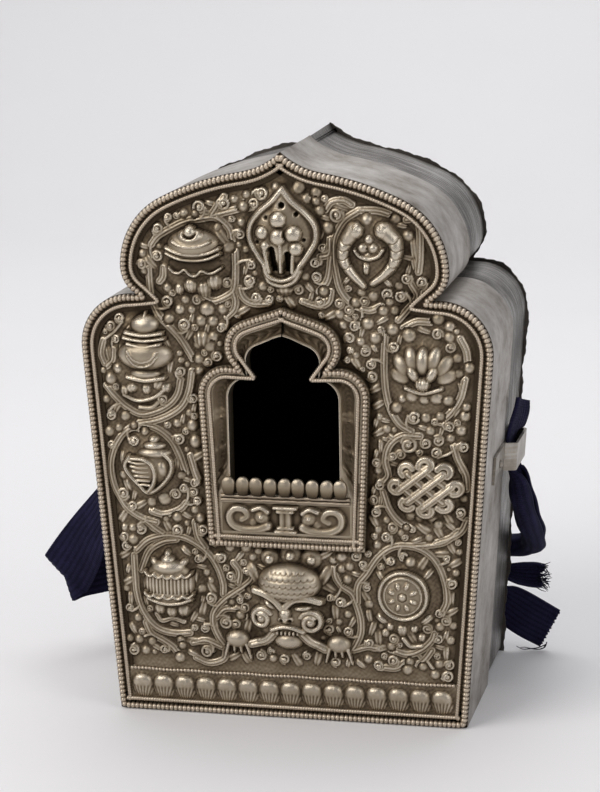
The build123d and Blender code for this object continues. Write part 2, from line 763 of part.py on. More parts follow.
def strap_loop():
    """Metal strip: a flat foot on the front wall, then an arch over the strap, ending clear of the pan."""
    underside = FilletPolyline(
        (loop_foot_setback + loop_foot_length, 0),
        (loop_foot_setback, 0),
        (loop_front, loop_stand_off),
        (loop_rear, loop_stand_off),
        (loop_rear - loop_stand_off / 2, loop_clearance - pan_inset),
        radius=loop_strip_thick,
    )
    edge_face = make_face(offset(underside, loop_strip_thick, side=Side.RIGHT, closed=True))
    return extrude(edge_face, amount=loop_strip_width / 2, both=True) - rivet_hole()


def rivet():
    """Rivet with a domed head, its shank flush with the inside of the wall."""
    head = Rot(-90, 0, 0) * stud(rivet_head_radius, rivet_head_rise)
    length = loop_strip_thick + wall_sheet
    shank = Rot(90, 0, 0) * extrude(RegularPolygon(rivet_shank_radius, 8), amount=length)
    return Pos(rivet_setback, loop_strip_thick) * (head + shank)


def bracket_rivets():
    """One rivet through the foot of each loop."""
    return Compound(children=[on_right_wall(rivet()), on_left_wall(rivet())])


# Strap: stretches of one ribbed cloth band


def band_end(place, width):
    """Corners of the band's end, of that width, in the x and y of a plane."""
    across = width / 2
    through = strap_thick / 2
    corners = [(-across, -through), (across, -through), (across, through), (-across, through)]
    return [place.from_local_coords((x, y, 0)) for x, y in corners]


def band_between(start, end, steps):
    """Band that turns evenly from one end's corners to the other's, each side folded into triangles."""
    rings = []
    for step in range(steps + 1):
        rings.append([a + (b - a) * (step / steps) for a, b in zip(start, end)])
    faces = [Face(Wire.make_polygon(ring)) for ring in (rings[0], rings[-1])]
    for low, high in zip(rings, rings[1:]):
        for index in range(len(low)):
            faces.append(Face(Wire.make_polygon([low[index - 1], low[index], high[index]])))
            faces.append(Face(Wire.make_polygon([low[index - 1], high[index], high[index - 1]])))
    return Solid(Shell(faces))


def strap_stub():
    """Band lying in the loop, its end above the strip flared off the wall."""
    below = loop_strip_width / 2 + strap_gap
    lie = strap_gap + strap_thick / 2
    flat = Pos(strap_middle, lie) * Box(strap_width, strap_thick, 2 * below)
    front_edge = Pos(strap_middle + strap_width / 2, lie, below + stub_height) * Rot(0, 0, -stub_flare)
    start = band_end(Plane(origin=(strap_middle, lie, below)), strap_width)
    flared = band_end(Plane(front_edge * Pos(-strap_width / 2)), strap_width)
    return flat + band_between(start, flared, 1)


# Route of the bunched band from under the right loop, out round the back plate's edge to the knot
right_route = [
    (73.2, 12.6, 79.0),
    (73.2, 17.5, 68.5),
    (74.8, 26.5, 57.0),
    (75.4, 37.5, 48.5),
    (72.8, 47.6, 42.4),
    (64.6, 53.2, 39.6),
]


def strap_right_loop():
    """Band bunched into a soft tube that bulges out under the right loop and curls in behind the pan."""
    runs = [Vector(*end) - Vector(*start) for start, end in zip(right_route, right_route[1:])]
    radii = []
    for before, after in zip(runs, runs[1:]):
        half_turn = before.get_angle(after) / 2 * pi / 180
        radii.append(0.45 * min(before.length, after.length) * cos(half_turn) / sin(half_turn))
    path = FilletPolyline(*right_route, radius=radii)
    section = Plane(origin=path @ 0, z_dir=path % 0) * RegularPolygon(strap_bunch_radius, 8)
    return sweep(section, path=path)


back_run_front = back_rear + 2 * strap_gap
knot_front = back_rear + strap_gap


def strap_knot():
    """Knot behind the right side of the back plate."""
    lump = Box(knot_width, knot_depth, knot_height, align=(Align.CENTER, Align.MIN, Align.CENTER))
    return Pos(knot_x, knot_front, knot_z) * chamfer(lump.edges(), knot_round)


def strap_tail_frayed():
    """Bunched tail with a frayed end, out to the right of the knot."""
    start = knot_x + knot_width / 2 + strap_gap
    ends = (Align.MIN, Align.CENTER, Align.CENTER)
    tail = Box(frayed_tail_length, frayed_tail_thick, frayed_tail_width, align=ends)
    tail = fillet(tail.edges().filter_by(Axis.X), frayed_tail_round)
    return Pos(start, knot_front + knot_depth / 2, knot_z - frayed_tail_drop) * tail


def strap_tail_cut():
    """Flat tail with a cut end that hangs down to the ground from under the knot."""
    under = knot_z - knot_height / 2 - strap_gap
    end_x = knot_x + cut_tail_reach
    corners = [
        (knot_x + cut_tail_gather, under),
        (knot_x + knot_width / 2, under),
        (end_x, cut_tail_lift + cut_tail_end),
        (end_x - cut_tail_slant, cut_tail_lift),
        (knot_x + cut_tail_gather, cut_tail_sag),
    ]
    return slab(make_face(Polyline(*corners, close=True)), back_run_front, back_run_front + strap_thick)


# Plan of the band from the fold at the left, round the back plate's edge
left_return_plan = [(-100.6, 24.4), (-90.0, 31.0), (-77.0, 46.0), (-67.0, 49.0), (-60.3, 48.2)]
return_foot = 19.5
fold_top = (-108.7, 21.0, 37.7)
fold_foot = (-95.8, 21.0, 20.0)


def strap_back_run():
    """Band across the back plate from the left edge to the knot."""
    start = left_return_plan[-1][0] + strap_thick / 2 + strap_gap
    length = knot_x - knot_width / 2 - strap_gap - start
    run = Box(length, strap_thick, strap_width, align=Align.MIN)
    return Pos(start, back_run_front, return_foot) * run


def strap_left_return():
    """Band from the fold at the left, back along the ground and round the edge of the back plate."""
    spine = FilletPolyline(*left_return_plan, radius=6.0)
    band = make_face(offset(spine, strap_thick / 2))
    return Pos(0, 0, return_foot) * extrude(band, amount=strap_width)


def strap_left_drop():
    """Band from under the left loop, turning to face the front and falling to the fold."""
    below = loop_strip_width / 2 + 2 * strap_gap
    lie = strap_gap + strap_thick / 2
    start = on_left_wall(Pos(strap_middle, lie, -below) * Rectangle(strap_thick, strap_thick)).center()
    top = band_end(Plane(origin=start, x_dir=(0, -1, 0), z_dir=(0, 0, -1)), strap_width)
    fold = Vector(*fold_foot) - Vector(*fold_top)
    middle = (Vector(*fold_foot) + Vector(*fold_top)) * 0.5
    foot = band_end(Plane(origin=middle, x_dir=fold, z_dir=fold.cross(Vector(0, -1, 0))), fold.length)
    return band_between(top, foot, 6)


pieces = {
    "face_plate": face_plate,
    "front_wall": front_wall,
    "border_bead_wire": border_bead_wire,
    "border_twist_wire": border_twist_wire,
    "window_frame": window_frame,
    "window_bead_wire": window_bead_wire,
    "window_twist_wire": window_twist_wire,
    "sill_knobs": sill_knobs,
    "sill_rails": sill_rails,
    "sill_panel": sill_panel,
    "base_line_wire": base_line_wire,
    "stop_tabs": stop_tabs,
    "right_strap_bracket": lambda: on_right_wall(strap_loop()),
    "left_strap_bracket": lambda: on_left_wall(strap_loop()),
    "bracket_rivets": bracket_rivets,
    "pan_wall": pan_wall,
    "back_plate": back_plate,
    "lining": lining,
    "strap_right_stub": lambda: on_right_wall(strap_stub()),
    "strap_left_stub": lambda: on_left_wall(strap_stub()),
    "strap_right_loop": strap_right_loop,
    "strap_knot": strap_knot,
    "strap_tail_frayed": strap_tail_frayed,
    "strap_tail_cut": strap_tail_cut,
    "strap_back_run": strap_back_run,
    "strap_left_return": strap_left_return,
    "strap_left_drop": strap_left_drop,
}

os.makedirs("parts", exist_ok=True)
for name, make in pieces.items():
    export_step(make(), f"parts/{name}.step")
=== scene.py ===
import bmesh
import bpy
import numpy as np
from mathutils import Matrix


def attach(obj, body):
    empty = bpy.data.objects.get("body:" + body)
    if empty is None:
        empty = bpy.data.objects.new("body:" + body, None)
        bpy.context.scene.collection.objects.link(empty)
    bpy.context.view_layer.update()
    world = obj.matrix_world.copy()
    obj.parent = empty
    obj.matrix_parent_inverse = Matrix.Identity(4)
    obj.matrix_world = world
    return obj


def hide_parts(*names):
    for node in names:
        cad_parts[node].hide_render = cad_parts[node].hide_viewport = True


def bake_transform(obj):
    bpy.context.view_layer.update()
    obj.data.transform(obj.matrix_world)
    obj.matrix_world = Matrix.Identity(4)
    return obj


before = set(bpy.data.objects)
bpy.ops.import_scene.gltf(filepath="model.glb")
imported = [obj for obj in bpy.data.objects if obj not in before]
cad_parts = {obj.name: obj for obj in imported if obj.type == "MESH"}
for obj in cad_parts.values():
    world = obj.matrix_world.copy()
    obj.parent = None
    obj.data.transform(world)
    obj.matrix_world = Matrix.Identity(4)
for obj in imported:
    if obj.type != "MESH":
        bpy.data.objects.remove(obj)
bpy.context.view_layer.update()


# Front wall: a band of bright silver sheet bent to the lobed outline and soldered behind the face.
# Handling has left it softly dented, and its open rear edge is drawn in a little over the pan's upper lobe.

def arc(start, end, heading, count=26):
    """Points of the circle arc that leaves start along heading and reaches end. Its centre lies on the
    normal at start, and it turns by twice the angle between heading and chord."""
    start, end, heading = (np.asarray(p, float) for p in (start, end, heading))
    heading = heading / np.hypot(*heading)
    normal = np.array([-heading[1], heading[0]])
    chord = end - start
    centre = start + normal * (chord @ chord) / (2 * (chord @ normal))
    sweep = 2 * np.arctan2(chord @ normal, chord @ heading)
    turn = np.linspace(0, sweep, count)[:, None]
    arm = start - centre
    points = centre + np.cos(turn) * arm + np.sin(turn) * np.array([-arm[1], arm[0]])
    leaving = np.cos(sweep) * heading + np.sin(sweep) * normal
    return points, leaving


def lobed_line(foot, height, foot_half, shoulder, notch, flank, corner, crown):
    """Closed lobed outline from the middle of the foot, up the right side to the point and down the
    left. Each shaping point is (half width, drop from the top); straight sides, then five arcs."""
    top = foot + height
    shoulder, notch, flank, corner, crown = (
        np.array([half, top - drop]) for half, drop in (shoulder, notch, flank, corner, crown))
    heel = np.array([foot_half, foot])
    sole = np.stack([np.linspace(0, foot_half, 40), np.full(40, foot)], 1)
    side = heel + np.linspace(0, 1, 60)[:, None] * (shoulder - heel)
    lobe, _ = arc(shoulder, notch, shoulder - heel)
    throat, _ = arc(flank, notch, (0, -1))
    brow, leaving = arc(flank, corner, (0, 1))
    dome, leaving = arc(corner, crown, leaving)
    tip, _ = arc(crown, (0, top), leaving)
    half = np.concatenate([sole[:-1], side[:-1], lobe[:-1], throat[::-1][:-1], brow[:-1], dome[:-1], tip])
    return np.concatenate([half, half[::-1][1:-1] * (-1, 1)])


def inset(line, depth):
    """A closed line moved towards its inside: each point goes along the mean of the normals of its two
    runs, lengthened by one over the cosine of half the turn so that the runs stay parallel."""
    run = np.roll(line, -1, 0) - line
    run /= np.maximum(np.hypot(run[:, 0], run[:, 1]), 1e-9)[:, None]
    normal = np.stack([-run[:, 1], run[:, 0]], 1)
    mean = normal + np.roll(normal, 1, 0)
    length = np.hypot(mean[:, 0], mean[:, 1])
    scale = 1 / np.maximum(length / 2, 0.45)
    return line + depth * mean / length[:, None] * scale[:, None]


def spaced(line, count, closed=True):
    """The same line with count points at equal steps of its length."""
    if closed:
        line = np.concatenate([line, line[:1]])
    travelled = np.concatenate([[0], np.cumsum(np.linalg.norm(np.diff(line, axis=0), axis=1))])
    at = np.linspace(0, travelled[-1], count, endpoint=not closed)
    return np.stack([np.interp(at, travelled, line[:, k]) for k in range(line.shape[1])], 1), travelled[-1]


def put_mesh(name, points, quads, smooth=True):
    """Mesh object at the origin from points in millimetres and rows of four corner numbers."""
    mesh = bpy.data.meshes.new(name)
    points = np.asarray(points, np.float32).reshape(-1, 3) * 0.001
    quads = np.asarray(quads, np.int32).reshape(-1, 4)
    mesh.vertices.add(len(points))
    mesh.vertices.foreach_set("co", points.ravel())
    mesh.loops.add(quads.size)
    mesh.loops.foreach_set("vertex_index", quads.ravel())
    mesh.polygons.add(len(quads))
    mesh.polygons.foreach_set("loop_start", np.arange(0, quads.size, 4, dtype=np.int32))
    mesh.update(calc_edges=True)
    mesh.polygons.foreach_set("use_smooth", np.full(len(quads), smooth))
    made = bpy.data.objects.new(name, mesh)
    bpy.context.scene.collection.objects.link(made)
    return made


def grid_quads(rows, columns, wrap_rows=False, wrap_columns=False, first=0):
    """Corner numbers of the quads between neighbouring points of a grid; a wrapped side joins up."""
    number = first + np.arange(rows * columns).reshape(rows, columns)
    if wrap_rows:
        number = np.concatenate([number, number[:1]])
    if wrap_columns:
        number = np.concatenate([number, number[:, :1]], 1)
    return np.stack([number[:-1, :-1], number[1:, :-1], number[1:, 1:], number[:-1, 1:]], 2).reshape(-1, 4)


def uv_layer(made, u, v):
    """UV map from one u and one v for each point of the mesh."""
    layer = made.data.uv_layers.new(name="UVMap")
    corner = np.empty(len(made.data.loops), np.int32)
    made.data.loops.foreach_get("vertex_index", corner)
    layer.data.foreach_set("uv", np.stack([np.ravel(u), np.ravel(v)], 1)[corner].astype(np.float32).ravel())


def weld(made):
    """Join points that lie on each other, as at poles and along a closing seam."""
    shell = bmesh.new()
    shell.from_mesh(made.data)
    bmesh.ops.remove_doubles(shell, verts=shell.verts, dist=2e-6)
    shell.to_mesh(made.data)
    shell.free()


def point_value(made, name, values):
    """One number for each point, read by the material through an Attribute node."""
    made.data.attributes.new(name, "FLOAT", "POINT").data.foreach_set(
        "value", np.ravel(values).astype(np.float32))


def in_depth(plan, depth):
    """Points (x, y, z) from their (x, z), as seen from the front, and their depth y."""
    return np.stack([plan[..., 0], np.broadcast_to(depth, plan.shape[:-1]), plan[..., 1]], -1)


def lobed_band(name, outer, depth, thickness):
    """Sheet band bent to an outline. Its outer skin is given as (x, z) for each place round the outline and
    each depth; the inner skin joins the same lines at the two edges, moved in by the thickness."""
    count, rows = outer.shape[:2]
    inner = np.stack([inset(outer[:, -1], thickness), inset(outer[:, 0], thickness)], 1)
    plan = np.concatenate([outer, inner], 1)
    y = np.concatenate([depth, depth[[-1, 0]]])
    made = put_mesh(name, in_depth(plan, y), grid_quads(count, rows + 2, True, True)[:, ::-1])
    travelled = np.linspace(0, 1, count, endpoint=False)
    uv_layer(made, np.repeat(travelled, rows + 2), np.tile((y - depth[0]) / (depth[-1] - depth[0]), count))
    made.data.set_sharp_from_angle(angle=0.6)
    return made


def shader(name, colour=(0.5, 0.5, 0.5), metallic=0.0, roughness=0.5, **sockets):
    """A new material: its node tree and its Principled shader with the constant sockets set."""
    material = bpy.data.materials.new(name)
    material.use_nodes = True
    tree = material.node_tree
    principled = tree.nodes["Principled BSDF"]
    principled.inputs["Base Color"].default_value = (*colour, 1)
    principled.inputs["Metallic"].default_value = metallic
    principled.inputs["Roughness"].default_value = roughness
    for socket, value in sockets.items():
        principled.inputs[socket.replace("_", " ")].default_value = value
    return material, tree, principled


def add_node(tree, kind, settings=None, **inputs):
    """A shader node with its settings; an input given as a socket is linked, any other is set. Inputs
    are named as in Blender with _ for a blank, or in_0, in_1 by place."""
    made = tree.nodes.new(kind)
    for name, value in (settings or {}).items():
        setattr(made, name, value)
    for name, value in inputs.items():
        socket = made.inputs[int(name[3:])] if name.startswith("in_") else made.inputs[name.replace("_", " ")]
        if isinstance(value, bpy.types.NodeSocket):
            tree.links.new(value, socket)
        else:
            socket.default_value = value
    return made


def sums(tree, operation, first, second):
    """Output of a Math node."""
    return add_node(tree, "ShaderNodeMath", {"operation": operation}, in_0=first, in_1=second).outputs[0]


def ramp(tree, value, *stops):
    """Colour output of a colour ramp with the given (place, colour) stops."""
    made = add_node(tree, "ShaderNodeValToRGB", Fac=value)
    elements = made.color_ramp.elements
    for number, (place, colour) in enumerate(stops):
        element = elements[number] if number < 2 else elements.new(place)
        element.position = place
        element.color = (*colour, 1)
    return made.outputs["Color"]


def colour_by(tree, principled, value, *stops):
    """Base colour of the shader from a value, through a colour ramp."""
    tree.links.new(ramp(tree, value, *stops), principled.inputs["Base Color"])


def noise(tree, place, scale, detail=4.0, roughness=0.55):
    """Noise value at a place."""
    return add_node(tree, "ShaderNodeTexNoise", Vector=place, Scale=scale, Detail=detail,
                    Roughness=roughness).outputs["Fac"]


def object_place(tree, scale=(1, 1, 1)):
    """Object coordinates, stretched by scale."""
    place = add_node(tree, "ShaderNodeTexCoord").outputs["Object"]
    return add_node(tree, "ShaderNodeMapping", Vector=place, Scale=scale).outputs["Vector"]


def bump(tree, principled, height, strength, distance):
    """Bump from a height value onto the shader's normal."""
    made = add_node(tree, "ShaderNodeBump", Height=height, Strength=strength, Distance=distance)
    tree.links.new(made.outputs["Normal"], principled.inputs["Normal"])


case_foot, case_height, face_front, face_back = 0.0, 200.0, -39.0, -38.0
case_shape = dict(foot_half=62.5, shoulder=(72, 69), notch=(51.3, 49.7), flank=(57.2, 40),
                  corner=(42, 15.7), crown=(14, 6.8))
case_line = lobed_line(case_foot, case_height, **case_shape)
small_line = lobed_line(0.0, 197.4, foot_half=62.5, shoulder=(72, 66.4), notch=(51.3, 47.1),
                        flank=(51.9, 37.4), corner=(39.5, 20.0), crown=(14, 10.0))
rear_share, outline_count = 0.12, 640
rear_line = case_line + rear_share * (small_line - case_line)
wall_rear, wall_sheet, wall_close = 6.0, 1.0, 0.5

wall_pair, wall_length = spaced(np.concatenate([case_line, rear_line], 1), outline_count)
wall_line, wall_draw = wall_pair[:, :2], wall_pair[:, 2:] - wall_pair[:, :2]
wall_along = np.linspace(0, wall_length, outline_count, endpoint=False)[:, None]
wall_deep = np.linspace(0, 1, 18)
wall_dent = -0.11 * (1 + np.sin(wall_along * 0.11 + 3 * wall_deep)
                     * np.cos(wall_along * 0.047 + 5 * wall_deep))
wall_dent = wall_dent * np.sin(np.pi * wall_deep) ** 0.5 * (wall_line[:, 1] > 1)[:, None]
wall_skin = (wall_line[:, None, :] + wall_close * wall_deep[None, :, None] ** 1.2 * wall_draw[:, None, :]
             + wall_dent[:, :, None] * (wall_line - inset(wall_line, 1.0))[:, None, :])
wall_y = face_back + wall_deep * (wall_rear - face_back)
front_wall = lobed_band("front_wall_sheet", wall_skin, wall_y, wall_sheet)

bright_silver, tree, principled = shader("bright_silver", metallic=0.9)
place = object_place(tree)
cloud = noise(tree, place, 60.0, 7.0, 0.68)
speck = noise(tree, place, 420.0, 3.0, 0.7)
colour_by(tree, principled, cloud, (0.30, (0.15, 0.122, 0.096)), (0.44, (0.31, 0.282, 0.25)),
          (0.56, (0.41, 0.385, 0.355)), (0.70, (0.52, 0.50, 0.475)))
tree.links.new(sums(tree, "SUBTRACT", 0.60, sums(tree, "MULTIPLY", cloud, 0.22)),
               principled.inputs["Roughness"])
bump(tree, principled, sums(tree, "ADD", cloud, sums(tree, "MULTIPLY", speck, 0.25)), 0.35, 0.0006)
front_wall.data.materials.append(bright_silver)
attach(front_wall, "front_case")
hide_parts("front_wall")


# Face: one silver sheet worked up from behind, chased from the front and soldered on the wall's front edge.
# The eight lucky emblems, a jewel at the top and a beast mask below stand in a close vine of stems, curls and
# berries. It is modelled as one height over the plane of the sheet, in millimetres, on a fine raster.

pitch = 0.36
raster_x = np.arange(-200, 201) * pitch
raster_z = np.arange(0, 560) * pitch
swell = np.zeros((len(raster_x), len(raster_z)))
chased = np.zeros_like(swell)
sunk = np.zeros_like(swell)


def window_at(x, z, reach_x, reach_z):
    """Slices of the raster round a place, and the offsets from that place over them."""
    i = slice(*np.clip(np.searchsorted(raster_x, (x - reach_x, x + reach_x)), 0, len(raster_x)))
    k = slice(*np.clip(np.searchsorted(raster_z, (z - reach_z, z + reach_z)), 0, len(raster_z)))
    across, up = np.meshgrid(raster_x[i] - x, raster_z[k] - z, indexing="ij")
    return (i, k), across, up


def lump(x, z, half_width, half_height, rise, turn=0.0, roundness=0.5, foot=0.0, ribs=0, rib_depth=0.35):
    """Cap over an ellipse turned by degrees: foot + rise * (1 - distance squared) ^ roundness, with ribs
    fanning across its width."""
    reach = max(half_width, half_height)
    cell, across, up = window_at(x, z, reach, reach)
    c, s = np.cos(np.radians(turn)), np.sin(np.radians(turn))
    u, v = (c * across + s * up) / half_width, (c * up - s * across) / half_height
    inside = 1 - u * u - v * v
    height = foot + rise * np.maximum(inside, 0) ** roundness
    if ribs:
        height = height - rib_depth * (0.5 + 0.5 * np.cos(2 * np.pi * ribs * u / (1.6 + 0.5 * v)))
    chased[cell] = np.where(inside > 0, np.maximum(chased[cell], height), chased[cell])


def pillow(x, z, half_width, half_height, rise):
    """Broad swelling under an emblem: rise * (1 - distance squared), squared for a soft foot."""
    cell, u, v = window_at(x, z, half_width, half_height)
    inside = np.maximum(1 - (u / half_width) ** 2 - (v / half_height) ** 2, 0)
    swell[cell] = np.maximum(swell[cell], rise * (1 - (1 - inside) ** 1.5))


def curve_piece(a, b, c, d, t):
    """Catmull-Rom curve from b to c at the shares t, where a and d are the points before and after."""
    return 0.5 * (2 * b + (c - a) * t + (2 * a - 5 * b + 4 * c - d) * t * t
                  + (3 * b - a - 3 * c + d) * t ** 3)


def smooth_line(points, step=0.6):
    """Catmull-Rom curve through the points, sampled about every step millimetres."""
    points = np.asarray(points, float)
    ends = np.concatenate([[2 * points[0] - points[1]], points, [2 * points[-1] - points[-2]]])
    pieces = []
    for a, b, c, d in zip(ends, ends[1:], ends[2:], ends[3:]):
        t = np.linspace(0, 1, max(3, int(np.hypot(*(c - b)) / step)), endpoint=False)[:, None]
        pieces.append(curve_piece(a, b, c, d, t))
    return np.concatenate(pieces + [points[-1:]])


def stroke(points, half=0.9, rise=1.5, groove=0.0, taper=0.0, foot=0.0, cut=False, lines=0):
    """Rounded bead along a smooth line: rise * (1 - (distance / half)^2)^0.5, with a chased groove along
    its middle, or that many fine lines side by side, and ends thinned by taper. Cut carves the same bead
    into the metal instead."""
    line = smooth_line(points) if len(points) > 2 else np.linspace(points[0], points[1], 24)
    middle, spread = (line.max(0) + line.min(0)) / 2, (line.max(0) - line.min(0)) / 2 + half
    cell, across, up = window_at(*middle, *spread)
    start, run = line[:-1] - middle, np.diff(line, axis=0)
    square = (run * run).sum(1)
    along = ((across[..., None] - start[:, 0]) * run[:, 0]
             + (up[..., None] - start[:, 1]) * run[:, 1]) / square
    along = np.clip(along, 0, 1)
    distance = np.hypot(across[..., None] - start[:, 0] - along * run[:, 0],
                        up[..., None] - start[:, 1] - along * run[:, 1])
    nearest = distance.argmin(-1)
    distance = np.take_along_axis(distance, nearest[..., None], -1)[..., 0]
    share = (nearest + np.take_along_axis(along, nearest[..., None], -1)[..., 0]) / len(run)
    width = half * (1 - taper * share)
    inside = 1 - (distance / width) ** 2
    bead = rise * (1 - 0.4 * taper * share) * np.maximum(inside, 0) ** 0.5
    if cut:
        chased[cell] -= bead
        sunk[cell] += bead
        return
    bead = bead - groove * np.exp(-(distance / 0.3) ** 2) + foot
    if lines:
        bead = bead - 0.28 * (1 - (-1) ** lines * -np.cos(2 * np.pi * distance * lines / (2 * width)))
    chased[cell] = np.where(inside > 0, np.maximum(chased[cell], bead), chased[cell])


def curl(x, z, radius, start=0.0, hand=1, rise=1.7, foot=0.0):
    """Spiral bead round a small ball: the bead's middle runs at radius * (0.80 - 0.33 * turns) from its
    start angle, and its height falls off as a half circle either side."""
    cell, across, up = window_at(x, z, radius * 1.1, radius * 1.1)
    out = np.hypot(across, up) / radius
    turned = (hand * (np.arctan2(up, across) - np.radians(start)) / (2 * np.pi)) % 1
    height = np.zeros_like(out)
    for lap in (0, 1):
        turns = turned + lap
        inside = 1 - ((out - 0.80 + 0.33 * turns) / 0.23) ** 2
        height = np.maximum(height, np.where(turns < 1.35, rise * (0.75 + 0.2 * turns)
                                             * np.maximum(inside, 0) ** 0.5, 0))
    ball = rise * 1.15 * np.maximum(1 - (out / 0.36) ** 2, 0) ** 0.5
    height = np.maximum(height, ball)
    chased[cell] = np.where(height > 0, np.maximum(chased[cell], foot + height), chased[cell])


def berry(x, z, radius, foot=0.0):
    """Punched-up ball with a narrow sunk ring round it."""
    cell, across, up = window_at(x, z, radius * 1.3, radius * 1.3)
    out = np.hypot(across, up) / radius
    chased[cell] = np.where(out < 1.25, np.minimum(chased[cell], foot + 0.15), chased[cell])
    ball = foot + (0.5 + 0.55 * radius) * np.maximum(1 - out ** 2, 0) ** 0.5
    chased[cell] = np.where(out < 1, ball, chased[cell])


def pit(x, z, radius, depth):
    """Round sinking: depth * (1 - distance squared)."""
    cell, across, up = window_at(x, z, radius, radius)
    hole = depth * np.maximum(1 - (across ** 2 + up ** 2) / radius ** 2, 0)
    chased[cell] -= hole
    sunk[cell] += hole


# Soft swelling of the sheet under each emblem: x, z, half width, half height, rise.
emblem_swells = (
    (0.8, 171, 13, 19, 2.6), (-30, 164, 13, 13, 2.2), (-48.5, 129, 13, 17, 2.4), (-48.5, 90, 12, 13, 2.2),
    (-42.3, 48, 12, 14, 2.2), (30.5, 166, 13, 15, 2.0), (48, 125, 13, 14, 1.8), (49, 86, 13, 12, 2.0),
    (41, 47, 13, 14, 2.0), (0, 41, 15, 19, 2.6),
)
for place_and_size in emblem_swells:
    pillow(*place_and_size)

# Vine stems: bands of three fine lines that ring each emblem and run on to the next.
vine_stems = (
    ((-45.5, 168), (-43, 171), (-38, 174), (-33, 176.3), (-28, 177.2), (-23, 177.7), (-20, 176)),
    ((-22, 178), (-18, 174), (-17, 170)),
    ((-46.8, 159.5), (-46.7, 155), (-46.4, 150), (-45, 146), (-42.5, 142.5), (-39.5, 139.5), (-36.5, 136),
     (-34, 132), (-32, 128.5)),
    ((-41.5, 160), (-41.8, 157), (-43, 155.3)),
    ((-16, 166), (-16, 160), (-16.3, 155), (-17.2, 152.3), (-20, 150.3), (-24, 148.8), (-27.3, 150.3)),
    ((-17, 152.3), (-16.3, 149), (-17, 146), (-19.5, 143.5)),
    ((-14.8, 153.5), (-14, 151), (-12, 149), (-9, 148.2), (-5, 148.5)),
    ((-24, 178.5), (-22, 181.5), (-19.5, 184.8)),
    ((-24, 178.3), (-19, 179.6), (-15, 180.6)),
    ((-63.5, 118), (-60, 114), (-56, 110.5), (-51, 108.3), (-45, 109.8), (-40.5, 112.5), (-37.8, 116),
     (-36.5, 121)),
    ((-32.5, 124), (-33.5, 118), (-35.5, 113), (-39, 109.5), (-45, 106.5), (-52, 105)),
    ((-64, 134), (-65, 129.5), (-63.8, 126)),
    ((-60.3, 131), (-60.8, 127.5), (-63, 125)),
    ((-52, 104.7), (-46, 103.5), (-41, 100), (-38, 95), (-36.3, 90), (-35.8, 88)),
    ((-50, 102.3), (-54, 103.5), (-58, 101), (-61.5, 95.5), (-63, 90), (-62.5, 84), (-60.5, 79), (-57, 74),
     (-52, 70.8), (-47, 69.5)),
    ((-48.5, 73.5), (-44, 72.5), (-38.5, 74.5), (-36, 77)),
    ((-34, 94), (-32.3, 88), (-31.5, 86)),
    ((-54.5, 59), (-50, 63), (-43, 65), (-36, 64), (-29.5, 60), (-25.5, 54.5), (-23.5, 48.5), (-23.5, 44.5)),
    ((-53, 52), (-50, 59), (-45, 62.5), (-40, 63.5)),
    ((-55.5, 57), (-55.3, 50), (-55, 44), (-53.5, 38), (-50.5, 33), (-46.5, 30), (-41, 29), (-36, 29.5)),
    ((-52, 32.5), (-50, 28.5), (-45.5, 26), (-42, 23.5), (-40.5, 20.5)),
    ((-51, 70), (-47, 67), (-44, 65)),
    ((-33, 70), (-32, 65), (-29.5, 61)),
    ((-13, 54), (-13, 50.5), (-16, 47.5), (-20, 44.7), (-24, 41.5), (-27, 37.5), (-27.3, 33), (-25.5, 28.5),
     (-23.5, 26)),
    ((-19.5, 56), (-17.5, 53), (-18, 49)),
    ((-26, 36), (-23, 39), (-18.5, 39), (-16, 36.5)),
    ((-35, 26), (-30, 27), (-24.5, 25)),
    ((-34, 20.5), (-29, 18.8), (-24, 20.5), (-23, 24)),
    ((16.5, 58), (16.8, 53), (19, 49.5), (22.5, 47), (24, 43.5), (25.5, 38), (25.5, 33), (24, 29),
     (22.5, 26.5)),
    ((23, 26.5), (28, 28), (32, 27.5)),
    ((24.5, 44), (24.8, 50), (28, 54.5), (32, 60.5), (37, 64.3), (43, 65), (49, 63), (53, 58.5), (55.3, 52),
     (55.8, 46), (54.5, 42.5)),
    ((40, 65), (48, 65.5), (55, 67), (60, 71)),
    ((36, 27.5), (42, 26), (47, 28), (50.5, 31.5), (51.5, 34)),
    ((50.5, 28), (48, 24.5), (45.5, 22.5)),
    ((34, 20.7), (38, 20.8), (41, 23)),
    ((27, 181), (22, 177.5), (18.8, 172), (18.3, 166), (18.8, 160), (20.5, 153.5), (24.5, 149), (30, 147),
     (34, 148.5)),
    ((27, 181), (33, 181), (37, 180)),
    ((43, 178), (46, 178), (47.5, 174), (47.5, 165), (47, 160.5)),
    ((44.5, 156.5), (46.5, 152), (43, 147.5), (40, 144)),
    ((48, 154), (47, 149)),
    ((15.5, 181), (18, 183.8), (22, 184.2), (24.5, 182.8)),
    ((17, 171), (16.5, 166), (13.5, 165)),
    ((17.3, 165), (16, 157.5), (13, 153)),
    ((17, 153), (16, 149.5), (12.5, 148), (7, 149.5)),
    ((35.5, 139), (35, 130), (35.3, 120), (37, 113), (40, 108), (44, 105.5)),
    ((41.5, 141), (46, 143.5), (51, 143.5)),
    ((61, 138), (63, 134), (63.5, 130)),
    ((62.5, 124), (61, 118), (58, 113), (54, 109)),
    ((47, 104), (41, 104), (36.5, 100.5), (35, 95), (36, 90), (34.5, 87.5)),
    ((34, 84), (36, 78), (39.5, 73.5), (44, 71)),
    ((58.5, 101), (60, 96), (62.5, 91), (63, 86)),
    ((63, 75), (61, 71), (57, 68.5), (52, 66.5)),
)
for stem in vine_stems:
    stroke(stem, half=1.65, rise=1.75, lines=3)

